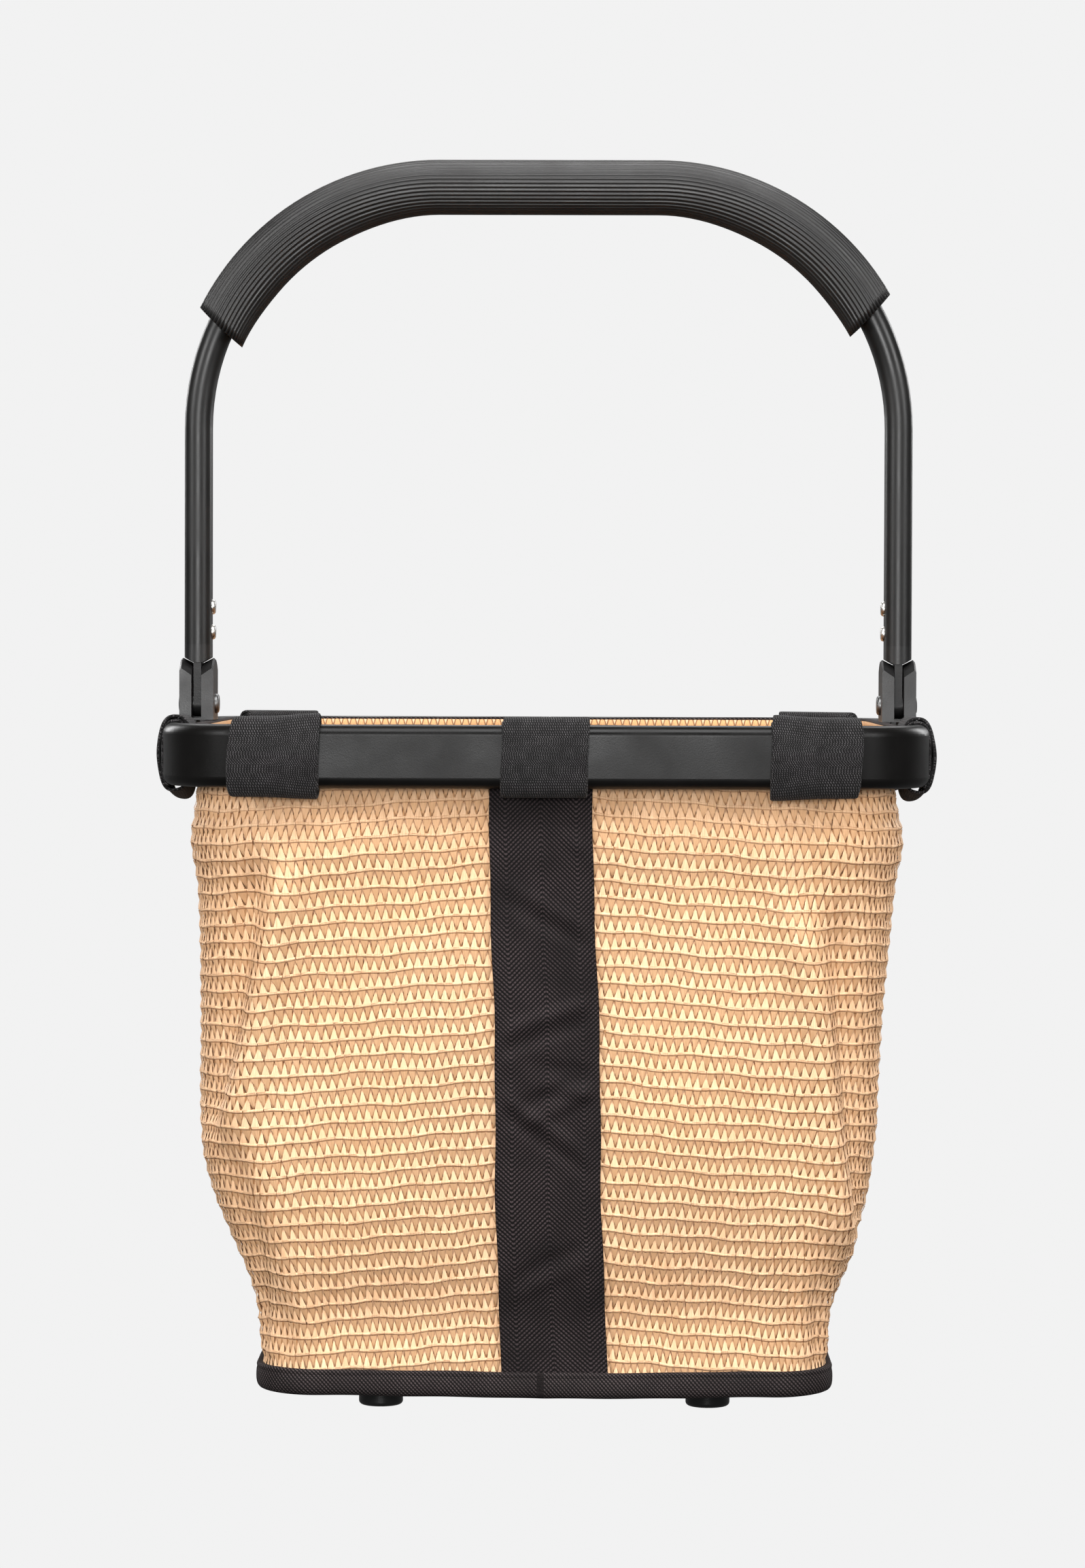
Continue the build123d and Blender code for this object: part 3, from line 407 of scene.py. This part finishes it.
def unevenAt(x, y, z, s):
    # how far the cloth stands out from the plain form: slow waves, the folds, one bulge and puckers at the base
    settled = soften(z, 24, 60) * (1 - soften(z, 262, 284))
    total = bagShape["uneven"] * settled * (
        np.sin(x / 37 + z / 61 + 0.7) * np.sin(z / 47 - y / 53) + 0.7 * np.sin(x / 19 - z / 33 + 2.1))
    front = soften(-y, 60, 95)
    for top, bottom, height, width, turn in bagShape["folds"]:
        line = top[0] + (bottom[0] - top[0]) * (top[1] - z) / (top[1] - bottom[1])
        off = (x - line) * turn
        reach = soften(z, bottom[1] - 18, bottom[1] + 14) * (1 - soften(z, top[1] - 14, top[1] + 16))
        ridge = np.exp(-((off + 0.3 * width) / width) ** 2)
        hollow = 1.15 * np.exp(-((off - 1.25 * width) / (0.9 * width)) ** 2)
        total = total + height * (ridge - hollow) * reach * front
    bulge = bagShape["bulge"]
    swell = np.exp(-((z - bulge["z"]) / bulge["tall"]) ** 2)
    total = total + bulge["out"] * soften(x * bulge["side"], 90, 140) * swell
    puckers = np.exp(-((z - 34) / 30) ** 2) * soften(z, 18, 30)
    corners = np.exp(-((s - 0.325) / 0.085) ** 2) + np.exp(-((s - 0.675) / 0.085) ** 2)
    total = total + 1.5 * puckers * corners * np.sin(s * 150 + z / 11 + np.sign(x) * 1.3)
    return total


def bagSurface(s, z, out, side):
    # places on the bag, out millimetres off its uneven surface; side is 1 for the right half and -1 for the left
    def plain(ss, zz):
        x, y = outlineAt(ss, zz)
        return np.stack([x * side, y, zz + 0 * x], -1)

    at = plain(s, z)
    alongS = plain(s + 0.0008, z) - plain(s - 0.0008, z)
    alongZ = plain(s, z + 1.0) - plain(s, z - 1.0)
    normal = np.cross(alongS, alongZ) * side
    normal /= np.linalg.norm(normal, axis=-1, keepdims=True) + 1e-9
    rise = out + unevenAt(at[..., 0], at[..., 1], at[..., 2], s)
    points = (at + normal * rise[..., None]) * mm
    points[..., 1] += midY
    return points


# woven raffia
weave = {"rows": 43, "columns": 132, "slope": 0.085, "firstRow": 12.0, "inset": 1.75, "measuredAt": 160.0,
         "relief": 1.5, "wide": 0.415, "narrow": 0.04, "cord": 0.12, "lean": 0.06, "lift": 0.12, "broad": 0.09,
         "underStrip": 20.5}


def rowHeight(row, s):
    # the rows sink a little from the seams towards the sides
    halfGirth = lengthAt(weave["measuredAt"])
    d = np.minimum(s, 1 - s) * halfGirth
    return weave["firstRow"] + braidPitch["row"] * row - weave["slope"] * (d - d * d / halfGirth)


def strandPatch(shift, stations, spanAt, heightAt, kind, tuckShadeAt):
    # one strand's outline: rows of three points from its lower to its upper end
    patch = []
    for t in stations:
        half = spanAt(t)
        for j, lift in ((-1, -0.22), (0, 0.16), (1, -0.22)):
            patch.append((shift + j * half, weave["cord"] * 0.75 + t * (1 - 1.5 * weave["cord"]),
                          heightAt(t) + lift * (0.4 + half), kind, tuckShadeAt(t)))
    return patch


def cellTemplate():
    # one repeat: a strand that rises and narrows, one that falls, and the cord that they turn round
    w, n, h = weave["wide"], weave["narrow"], weave["relief"]
    stations = (0.0, 0.3, 0.62, 0.86, 1.0)
    # each strand's last number is its painted shade: it darkens towards the tip where it tucks under
    rising = strandPatch(0.5, stations, lambda t: w + (n - w) * t ** 0.85, lambda t: h * (1 - t) ** 0.8, 0.0,
                         lambda t: 1.0 - 0.7 * soften(t, 0.72, 1.0))
    # the falling strand's 0.42 is painted shade, as it faces down
    falling = strandPatch(0.0, stations, lambda t: n + (w - n) * t ** 1.15, lambda t: h * t ** 0.8 - 0.1, 0.42,
                          lambda t: 1.0 - 0.85 * soften(1 - t, 0.66, 1.0))
    cord = []
    # each cord row's last number is its painted shade, darkest along its lower edge
    for f, lift, deep in ((-1, 0.2, 0.35), (-0.55, 1.15, 0.95), (0.15, 1.6, 1.0), (0.75, 1.3, 1.0), (1, 0.8, 0.85)):
        for u, more in ((0.0, -0.22), (0.5, 0.14), (1.0, -0.22)):
            cord.append((u, f * weave["cord"], lift + more, 0.0, deep))
    return [(rising, True), (falling, True), (cord, False)]


def weavePanel(name, side, firstColumn, lastColumn, seed):
    chance = np.random.default_rng(seed)
    grid = np.meshgrid(np.arange(-1, weave["rows"]), np.arange(firstColumn, lastColumn), indexing="ij")
    row, column = [a.ravel().astype(float) for a in grid]
    patchFaces = [(a, a + 1, a + 4, a + 3) for a in (i * 3 + j for i in range(4) for j in range(2))]
    patchFaces = np.array(patchFaces if side > 0 else [f[::-1] for f in patchFaces])
    allPoints, allBraid, allCloth, allCells, count = [], [], [], [], 0
    for patch, strand in cellTemplate():
        patch = np.array(patch)
        tint = chance.random(row.size)
        lean = chance.normal(0, weave["lean"], row.size)
        lift = chance.normal(0, weave["lift"], row.size)
        broad = 1 + chance.normal(0, weave["broad"], row.size)
        middle = 0.5 * (patch[:, 0].min() + patch[:, 0].max())
        across = middle + (patch[None, :, 0] - middle) * (broad[:, None] if strand else 1.0)
        leaning = lean[:, None] * (patch[None, :, 1] - 0.5) * 2
        u = column[:, None] + 0.5 * (row[:, None] % 2) + across + leaning
        v = row[:, None] + patch[None, :, 1]
        s = np.clip(u / weave["columns"], 0.0, 1.0)
        z = rowHeight(v, s) + 0.4 * np.sin(s * 61 + v * 0.55) + 0.25 * np.sin(s * 143 - v * 0.8)
        keep = (z.max(1) > bagShape["low"] + 1) & (z.min(1) < bagShape["high"] - 1)
        s, z, v = s[keep], np.clip(z[keep], bagShape["low"], bagShape["high"]), v[keep]
        hidden = sum(soften(weave["underStrip"] - end * lengthAt(z), 0, 3) for end in (s, 1 - s))
        pressed = 1 - 0.75 * hidden  # flat under the strips
        out = (patch[None, :, 2] + lift[keep][:, None]) * pressed - weave["inset"]
        allPoints.append(bagSurface(s, z, out, side).reshape(-1, 3))
        # the braid's first two channels carry painted shade, the third the chance tint
        braid = np.broadcast_arrays(patch[None, :, 3], patch[None, :, 4], tint[keep][:, None], np.ones_like(z))
        allBraid.append(np.stack(braid, -1).reshape(-1, 4))
        allCloth.append(np.stack([s * bagShape["girth"] / 2, v * braidPitch["row"] / 100], -1).reshape(-1, 2))
        firstPoints = count + np.arange(keep.sum()) * len(patch)
        allCells.append((patchFaces[None] + firstPoints[:, None, None]).reshape(-1, 4))
        count += keep.sum() * len(patch)
    piece = clothPiece(name, np.concatenate(allPoints), np.concatenate(allCells).tolist(), np.concatenate(allCloth))
    layer = piece.data.attributes.new("braid", "FLOAT_COLOR", "POINT")
    layer.data.foreach_set("color", np.concatenate(allBraid).astype(np.float32).ravel())
    return piece


middleColumn = weave["columns"] // 2
braids = []
for side, word in ((1, "Right"), (-1, "Left")):
    cadNode = "weave_panel_" + word.lower()
    front = weavePanel("braidFront" + word, side, -1, middleColumn, 11 + side)
    finishPiece(front, raffia, "basket", "raffia", cadNode)
    back = weavePanel("braidBack" + word, side, middleColumn, weave["columns"] + 1, 31 + side)
    finishPiece(back, raffia, "basket", "raffia", cadNode)
    braids += [front, back]
print("braid woven")


# lining, the braid seen from inside
def loopPoints(heights, count, out):
    # full rings round the bag, front seam first and on through the right side
    s = np.linspace(0, 1, count // 2 + 1)
    rings = []
    for z in heights:
        right = bagSurface(s, np.full_like(s, z), np.full_like(s, out), 1)
        left = bagSurface(s, np.full_like(s, z), np.full_like(s, out), -1)
        rings.append(np.concatenate([right, left[::-1][1:-1]]))
    return np.array(rings)


lining = {"rings": 118, "around": 300, "out": -2.7, "thick": 0.45, "relief": 0.35}
heights = np.linspace(bagShape["low"], bagShape["high"], lining["rings"])
ridges = lining["relief"] * np.cos(2 * math.pi * heights / braidPitch["row"])
points = np.array([loopPoints([z], lining["around"], lining["out"] + r)[0] for z, r in zip(heights, ridges)])
rows, columns = points.shape[:2]
flat = np.stack(np.meshgrid(np.linspace(0, bagShape["girth"], columns), heights / 100), -1)
liningPiece = thicken(clothPiece("bagLining", points, gridCells(rows, columns, ringColumns=True), flat),
                      lining["thick"])
finishPiece(liningPiece, raffiaBack, "basket", "raffia", "weave_panel_left")
print("lining made")


# black strips over the front and back seams
strips = {"half": 22.6, "wider": 1.2, "top": 307.2, "bottom": 17.5, "lean": (-2.4, 4.2), "out": 1.15, "thick": 1.3,
          "hem": 3.2, "across": 40, "down": 150, "creaseWide": 2.7, "creaseDeep": -0.9,
          "creases": [(272, -0.75, 0.8), (226, -0.55, 0.9), (176, 0.35, 1.2), (153, -0.15, 1.3), (141, 0.5, 0.9),
                      (126, -0.7, 1.2), (66, 0.5, 0.6)]}  # each crease's height, slant and size


def seamStrip(name, back):
    across = np.linspace(-strips["half"], strips["half"], strips["across"] + 1)
    down = np.linspace(strips["bottom"], strips["top"], strips["down"] + 1)
    w, z = np.meshgrid(across, down)
    topLean, baseLean = strips["lean"]
    lean = baseLean + (topLean - baseLean) * (z - down[0]) / (down[-1] - down[0])
    if back:
        lean = -0.5 * lean
    lower = (down[-1] - z) / (down[-1] - down[0])
    waver = 0.5 * np.sin(z / 23 + 0.5) + 0.25 * np.sin(z / 9)
    x = w * (1 + lower * strips["wider"] / strips["half"]) + lean + waver
    s = np.abs(x) / lengthAt(z)
    s = 1 - s if back else s
    edge = np.abs(w) - (strips["half"] - strips["hem"])
    relief = 0.25 * soften(-np.abs(w) + strips["half"], 0.0, 0.9) - 0.45 * np.exp(-(edge / 0.7) ** 2)
    creases = 0.0
    for height, slant, size in strips["creases"]:
        off = np.clip((z - height - slant * w) / strips["creaseWide"], -math.pi, math.pi)
        creases = creases + size * np.sin(off) * np.cos(w / 17 + height)
    creases = np.maximum(creases, strips["creaseDeep"]) * soften(strips["half"] - np.abs(w), 0, 8)
    out = strips["out"] + relief + creases
    points = np.where((x >= 0)[..., None], bagSurface(s, z, out, 1), bagSurface(s, z, out, -1))
    cells = gridCells(*x.shape)
    if back:
        cells = [c[::-1] for c in cells]
    return thicken(clothPiece(name, points, cells, np.stack([w / 100, z / 100], -1)), strips["thick"])


for name, back, cadNode in (("stripFront", False, "seam_strip_front"), ("stripBack", True, "seam_strip_back")):
    strip = finishPiece(seamStrip(name, back), stripCloth, "basket", "black_webbing", cadNode)
print("strips sewn on")


# hem binding round the mouth and binding round the base
def sweptBinding(name, profile, count, dip):
    # profile is (out, z) pairs round the binding's section, outer face going up; dip sinks its front middle
    rings = []
    for out, z in profile:
        ring = loopPoints([z], count, out)[0]
        index = np.arange(len(ring))
        front = soften(-(ring[:, 1] - midY) / mm, 60, 95)
        ring[:, 2] -= dip * mm * front * np.exp(-((ring[:, 0] / mm - 14) / 62) ** 2)
        ring[:, 2] += 0.22 * mm * np.sin(index * 0.37) * np.sin(index * 0.11 + z)
        rings.append(ring)
    points = np.array(rings)
    rows, columns = points.shape[:2]
    lengths = np.cumsum([0] + [math.dist(profile[i], profile[i - 1]) for i in range(1, len(profile))])
    cloth = np.stack(np.meshgrid(np.linspace(0, 9.6, columns), lengths / 100), -1)
    cells = gridCells(rows, columns, ringRows=True, ringColumns=True)
    return thicken(clothPiece(name, points, cells, cloth), rounded=True)


hem = {"low": 307.1, "top": 308.9, "out": 0.75, "inner": -3.3, "around": 240, "dip": 0.0}
low, top, out, inner = hem["low"], hem["top"], hem["out"], hem["inner"]
profile = [(0.1, low), (0.6, low + 0.1), (out, low + 0.7), (out, top - 0.6), (0.2, top - 0.1), (-1.3, top),
           (-2.7, top - 0.1), (inner, top - 0.6), (inner, low + 0.7), (-3.0, low + 0.1), (-2.5, low),
           (-1.3, low + 0.2)]
hemPiece = finishPiece(sweptBinding("hemBinding", profile, hem["around"], hem["dip"]), bindingCloth, "basket",
                       "black_webbing", "hem_binding")

baseTape = {"low": 7.9, "top": 20.2, "out": 3.0, "around": 280, "dip": 1.2}
low, top, out = baseTape["low"], baseTape["top"], baseTape["out"]
profile = [(-1.8, low + 0.2), (-0.6, low - 0.1), (out * 0.6, low + 0.5), (out, low + 2.4), (out + 0.15, low + 5.5),
           (out, low + 8.6), (out - 0.5, low + 9.7), (out - 0.15, low + 10.6), (out - 0.3, top - 0.8),
           (out - 1.2, top), (-0.6, top - 0.6), (-1.8, top - 1.4)]
tapePiece = finishPiece(sweptBinding("baseBinding", profile, baseTape["around"], baseTape["dip"]), bindingCloth,
                        "basket", "black_webbing", "base_binding")
print("bindings folded")

# cloth under the base, sagging a little between the feet
underCloth = {"thick": 1.1, "sag": 1.1, "rings": 16, "around": 160, "feetX": 74, "feetY": 70, "lift": 0.1}
edgeRing = loopPoints([15.0], underCloth["around"], -1.0)[0]
centre = edgeRing.mean(0)
points = np.array([centre + (edgeRing - centre) * (1 - k / underCloth["rings"] * 0.985)
                   for k in range(underCloth["rings"])])
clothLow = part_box("base_cloth")[0][2]
points[..., 2] = clothLow + underCloth["lift"] * mm
feetAt = [(sx * underCloth["feetX"] * mm, midY + sy * underCloth["feetY"] * mm) for sx in (-1, 1) for sy in (-1, 1)]
fromFoot = np.min([np.hypot(points[..., 0] - fx, points[..., 1] - fy) for fx, fy in feetAt], 0) / mm
fromEdge = 1 - np.linspace(1, 0.015, underCloth["rings"])[:, None]
points[..., 2] -= underCloth["sag"] * mm * soften(fromFoot, 12, 45) * soften(fromEdge, 0.0, 0.35)
rows, columns = points.shape[:2]
cells = gridCells(rows, columns, ringColumns=True) + [tuple(range((rows - 1) * columns, rows * columns))]
piece = clothPiece("underCloth", points, [c[::-1] for c in cells], points[..., :2] * 10)
thicken(piece, underCloth["thick"])
finishPiece(piece, bindingCloth, "basket", "black_webbing", "base_cloth")
print("base cloth laid")


# hook-and-loop straps round the rim
strapShape = {"wide": 38.0, "thick": 1.45, "around": 56, "across": 20, "startAt": 0.80, "wrap": 0.62,
              "halfD": 5.0, "halfH": 14.0, "squareness": 3.0, "curl": 0.18}


def strapSection(loose, drop, hang):
    # closed loop round the tube's section: (out from the tube's middle line, height), in millimetres
    halfD, halfH, p = strapShape["halfD"] + loose, strapShape["halfH"] + loose, strapShape["squareness"]
    loop = []
    for k in range(strapShape["around"]):
        a = 2 * math.pi * k / strapShape["around"]
        c, s = math.cos(a), math.sin(a)
        r = (abs(c / halfD) ** p + abs(s / halfH) ** p) ** (-1 / p)
        x, z = r * c, r * s
        if s < 0:
            z -= (drop + hang * (0.5 - 0.5 * c)) * (-s) ** 2
        loop.append((x, z))
    return loop


def strapPiece(name, along, loose, outerTurn, drop, flare, hang):
    # along follows the rim's middle line; the outer turn bows away from the tube at the edge named by flare
    wide, across, around = strapShape["wide"], strapShape["across"], strapShape["around"]
    loops = [strapSection(loose, drop, hang * (0.15 + 0.85 * soften(j, 0, across))) for j in range(across + 1)]
    if flare < 0:
        loops.reverse()  # the flared edge lies tight under the tube, the other one hangs
    start = int(around * strapShape["startAt"])
    count = around + int(around * strapShape["wrap"])
    rows, length = [], 0.0
    for index in range(count):
        outer = soften(index, around * 0.93, around * 1.04)
        fade = 1 - soften(index, count - 9, count - 1)
        middle = loops[across // 2][(index + start) % around]
        if index:
            length += math.dist(middle, last)
        last = middle
        line = []
        for j in range(across + 1):
            w = -wide / 2 + wide * j / across
            edge = w * math.copysign(1, flare) / (wide / 2) if flare else 0.0
            x, z = loops[-1 - j][(index + start) % around]
            size = math.hypot(x, z)
            nx, nz = x / size, z / size
            bow = abs(flare) * soften(edge, -0.3, 1.0) * outer * fade * (0.35 + 0.65 * max(0.0, nx) ** 0.5)
            curl = strapShape["curl"] * math.sin(index * 0.13 + j * 0.11) * outer
            grow = outerTurn * outer + bow + curl
            at, outward = along(w + 0.8 * outer * math.sin(index * 0.09))
            reach, rise = (x + nx * grow) * mm, (z + nz * grow) * mm
            line.append((at[0] + outward[0] * reach, at[1] + outward[1] * reach, at[2] + rise))
        rows.append(line)
    cloth = np.meshgrid(np.linspace(-wide / 200, wide / 200, across + 1), np.arange(count) / count * length / 100)
    piece = clothPiece(name, np.array(rows), gridCells(count, across + 1), np.stack(cloth, -1))
    return thicken(piece, strapShape["thick"], offset=0, rounded=True), length


rimLine = {"halfX": 166.5, "halfY": 130.0, "corner": 45.0}
rimMiddle = (rimLow[2] + rimHigh[2]) / 2


def rimPlace(x, y):
    # nearest place on the rim's middle line and the outward direction there
    cx = np.clip(x, -(rimLine["halfX"] - rimLine["corner"]), rimLine["halfX"] - rimLine["corner"])
    cy = np.clip(y, -(rimLine["halfY"] - rimLine["corner"]), rimLine["halfY"] - rimLine["corner"])
    dx, dy = x - cx, y - cy
    size = math.hypot(dx, dy)
    dx, dy = dx / size, dy / size
    return ((cx + dx * rimLine["corner"]) * mm, (cy + dy * rimLine["corner"]) * mm + midY, rimMiddle), (dx, dy)


def frontLine(centreX, sign):
    flat = rimLine["halfX"] - rimLine["corner"]

    def along(w):
        d = centreX + w * -sign
        if abs(d) <= flat:
            return rimPlace(d, sign * rimLine["halfY"])
        angle = (abs(d) - flat) / rimLine["corner"]
        cx = math.copysign(flat, d)
        out = (math.copysign(math.sin(angle), d), sign * math.cos(angle))
        cy = sign * (rimLine["halfY"] - rimLine["corner"])
        return ((cx + out[0] * rimLine["corner"]) * mm, (cy + out[1] * rimLine["corner"]) * mm + midY, rimMiddle), out
    return along


def sideLine(centreY, sign):
    def along(w):
        return rimPlace(sign * rimLine["halfX"], centreY + w * sign)
    return along


# where each strap runs, how loose its first and second turns are, its drop, flare and hang
strapPlaces = {}
for word, x, flare in (("left", -118.0, 2.8), ("middle", 0.0, 0.0), ("right", 118.0, -2.8)):
    strapPlaces["strap_front_" + word] = (frontLine(x, -1), 1.2, 1.9, 1.3, flare, 0.0)
for word, x in (("left", -133.0), ("right", 133.0)):
    strapPlaces["strap_back_" + word] = (frontLine(x, 1), 0.8, 1.4, 0.6, 0.0, 1.0)
for word, sign in (("left", -1), ("right", 1)):
    strapPlaces["strap_" + word + "_front"] = (sideLine(-62.0, sign), 0.9, 1.7, 0.2, -0.6 * sign, 11.0)
    strapPlaces["strap_" + word + "_rear"] = (sideLine(62.0, sign), 0.9, 1.7, 0.2, -0.6 * sign, 9.0)
for cadNode, shape in strapPlaces.items():
    words = cadNode.split("_")
    piece, length = strapPiece(words[0] + words[1].title() + words[2].title(), *shape)
    finishPiece(piece, strapPile, "basket", "hook_loop", cadNode)
print("straps wrapped")


# ribbed grip: one ribbed outline spun round both bends
grip = {"wide": 25.0, "deep": 30.0, "ribs": 46, "groove": 1.0, "shoulder": 0.18, "fromDeg": 28.0, "toDeg": 24.4,
        "endLean": 19.0, "bulge": 1.3, "bend": 112.0, "flat": 51.0, "top": 557.0, "turnSteps": 28,
        "flatSteps": 24, "endHole": 0.5}


def gripOutline():
    # stadium with ribs, in the plane across the handle, as (across, fore-and-aft)
    count = grip["ribs"] * 4
    half = grip["wide"] / 2
    straight = (grip["deep"] - grip["wide"]) / 2
    halfTurn = math.pi * half
    around = 2 * math.pi * half + 4 * straight
    outline = []
    for k in range(count):
        d = around * k / count
        if d < straight:
            p, n = (half, d), (1, 0)
        elif d < straight + halfTurn:
            a = (d - straight) / half
            p, n = (half * math.cos(a), straight + half * math.sin(a)), (math.cos(a), math.sin(a))
        elif d < 3 * straight + halfTurn:
            p, n = (-half, straight - (d - straight - halfTurn)), (-1, 0)
        elif d < 3 * straight + 2 * halfTurn:
            a = math.pi + (d - 3 * straight - halfTurn) / half
            p, n = (half * math.cos(a), -straight + half * math.sin(a)), (math.cos(a), math.sin(a))
        else:
            p, n = (half, d - around), (1, 0)
        sink = (0.0, grip["shoulder"], grip["groove"], grip["shoulder"])[k % 4]
        outline.append((p[0] - n[0] * sink, p[1] - n[1] * sink))
    return outline


def buildGrip():
    # the outline stands at the right-hand end of the sleeve, square to the bend, and is spun to the other end
    bendX, bendZ = grip["flat"] * mm, (grip["top"] - grip["bend"]) * mm
    startAngle = math.radians(grip["fromDeg"])
    radial = Vector((math.cos(startAngle), 0, math.sin(startAngle)))
    middle = Vector((bendX, midY, bendZ))
    verts = [middle + radial * (grip["bend"] + a) * mm + Vector((0, b * mm, 0)) for a, b in gripOutline()]
    mesh = bpy.data.meshes.new("gripSleeve")
    mesh.from_pydata(verts, [(i, (i + 1) % len(verts)) for i in range(len(verts))], [])
    piece = bpy.data.objects.new("gripSleeve", mesh)
    bpy.context.collection.objects.link(piece)
    selectOnly(piece)
    bpy.ops.object.mode_set(mode="EDIT")
    bpy.ops.mesh.select_all(action="SELECT")
    firstTurn = math.pi / 2 - startAngle
    lastTurn = math.pi / 2 - math.radians(grip["toDeg"])
    step = 2 * grip["flat"] * mm / grip["flatSteps"]
    bpy.ops.mesh.spin(steps=grip["turnSteps"], angle=firstTurn, center=(bendX, midY, bendZ), axis=(0, 1, 0))
    for k in range(grip["flatSteps"]):
        bpy.ops.mesh.extrude_region_move(TRANSFORM_OT_translate={"value": (-step, 0, 0)})
    bpy.ops.mesh.spin(steps=grip["turnSteps"], angle=lastTurn, center=(-bendX, midY, bendZ), axis=(0, 1, 0))
    bpy.ops.object.mode_set(mode="OBJECT")
    return piece


gripPiece = buildGrip()
coords = np.empty(len(gripPiece.data.vertices) * 3)
gripPiece.data.vertices.foreach_get("co", coords)
coords = coords.reshape(-1, 3)
reach = np.abs(coords[:, 0]) / mm - grip["flat"]
height = coords[:, 2] / mm - (grip["top"] - grip["bend"])
angle, radius = np.arctan2(height, reach), np.hypot(height, reach)
last = np.radians(np.where(coords[:, 0] > 0, grip["fromDeg"], grip["toDeg"]))
lean = (radius - grip["bend"]) * math.tan(math.radians(grip["endLean"])) / grip["bend"]
angle = angle + lean * (1 - soften(angle - last, 0.02, 0.45))  # the sleeve's ends lean in more than the bend does
inside = soften(grip["bend"] - radius, 4, 12) * soften(angle, 0.35, 0.7) * (1 - soften(angle, 1.1, 1.57))
radius = radius - grip["bulge"] * inside
bent = reach > 0
coords[bent, 0] = (np.sign(coords[:, 0]) * (grip["flat"] + radius * np.cos(angle)) * mm)[bent]
coords[bent, 2] = ((grip["top"] - grip["bend"] + radius * np.sin(angle)) * mm)[bent]
gripPiece.data.vertices.foreach_set("co", coords.ravel())
selectOnly(gripPiece)
bpy.ops.object.mode_set(mode="EDIT")
bpy.ops.mesh.select_mode(type="EDGE")
bpy.ops.mesh.select_all(action="DESELECT")
bpy.ops.mesh.select_non_manifold()
bpy.ops.mesh.extrude_region_move()  # end faces, drawn in to the tube
bpy.ops.object.mode_set(mode="OBJECT")
ends = [v for v in gripPiece.data.vertices if v.select]
for side in (-1, 1):
    ring = [v for v in ends if v.co.x * side > 0]
    middle = sum((v.co for v in ring), Vector()) / len(ring)
    for v in ring:
        v.co = middle + (v.co - middle) * grip["endHole"]
selectOnly(gripPiece)
bpy.ops.object.mode_set(mode="EDIT")
bpy.ops.mesh.select_all(action="SELECT")
bpy.ops.mesh.normals_make_consistent(inside=False)
bpy.ops.object.mode_set(mode="OBJECT")
gripPiece.data.shade_smooth()
finishPiece(gripPiece, gripRubber, "handle", "grip_rubber", "handle_grip")
print("grip spun")


# pale dome that stands as floor and background, and the lights
stageShape = {"radius": 14.0, "glow": (0.887, 0.887, 0.887), "air": 0.15}
bpy.ops.object.select_all(action="DESELECT")
bpy.ops.mesh.primitive_uv_sphere_add(segments=64, ring_count=32, radius=stageShape["radius"], location=(0, 0, 0))
floor = bpy.context.object
floor.name = "paleFloor"
bpy.ops.object.mode_set(mode="EDIT")
bpy.ops.mesh.select_all(action="SELECT")
bpy.ops.mesh.bisect(plane_co=(0, 0, 0), plane_no=(0, 0, 1), use_fill=True, clear_inner=True)
bpy.ops.mesh.select_all(action="SELECT")
bpy.ops.mesh.normals_make_consistent(inside=True)
bpy.ops.object.mode_set(mode="OBJECT")
paper, tree, shader = startMaterial("palePaper", (0, 0, 0), 1.0, **{"Specular IOR Level": 0.0})
shader.inputs["Emission Color"].default_value = (*stageShape["glow"], 1)
shader.inputs["Emission Strength"].default_value = 1.0
floor.data.materials.append(paper)
floor.visible_diffuse = floor.visible_glossy = floor.visible_shadow = False  # a plain ground that lights nothing

world = bpy.data.worlds.new("studio")
bpy.context.scene.world = world
world.use_nodes = True
air = world.node_tree.nodes["Background"]
air.inputs[0].default_value = (1, 1, 1, 1)
air.inputs[1].default_value = stageShape["air"]

lamps = {  # place, size, power, aimed at
    "top": ((0.1, -1.2, 2.3), (2.0, 1.2), 78, (0, 0, 0.2)),
    "front": ((-0.1, -3.3, 0.62), (0.9, 0.7), 52, (0, 0, 0.3)),
    "leftSide": ((-2.4, -1.8, 1.3), (0.8, 1.5), 47, (0, 0, 0.2)),
    "rightSide": ((2.4, -1.8, 1.3), (0.8, 1.5), 45, (0, 0, 0.2)),
    "behind": ((0, 1.8, 2.0), (2.0, 1.2), 30, (0, 0.5, 0.2)),
    "behindLeft": ((-2.0, 2.4, 1.2), (0.8, 1.2), 24, (0, 0, 0.2)),
    "behindRight": ((2.0, 2.4, 1.2), (0.8, 1.2), 24, (0, 0, 0.2)),
}
for name, (at, size, power, aim) in lamps.items():
    data = bpy.data.lights.new(name, "AREA")
    data.shape = "RECTANGLE"
    data.size, data.size_y = size
    data.energy = power
    lamp = bpy.data.objects.new(name, data)
    bpy.context.collection.objects.link(lamp)
    lamp.location = at
    lamp.rotation_euler = (Vector(aim) - Vector(at)).to_track_quat("-Z", "Y").to_euler()
print("stage set")
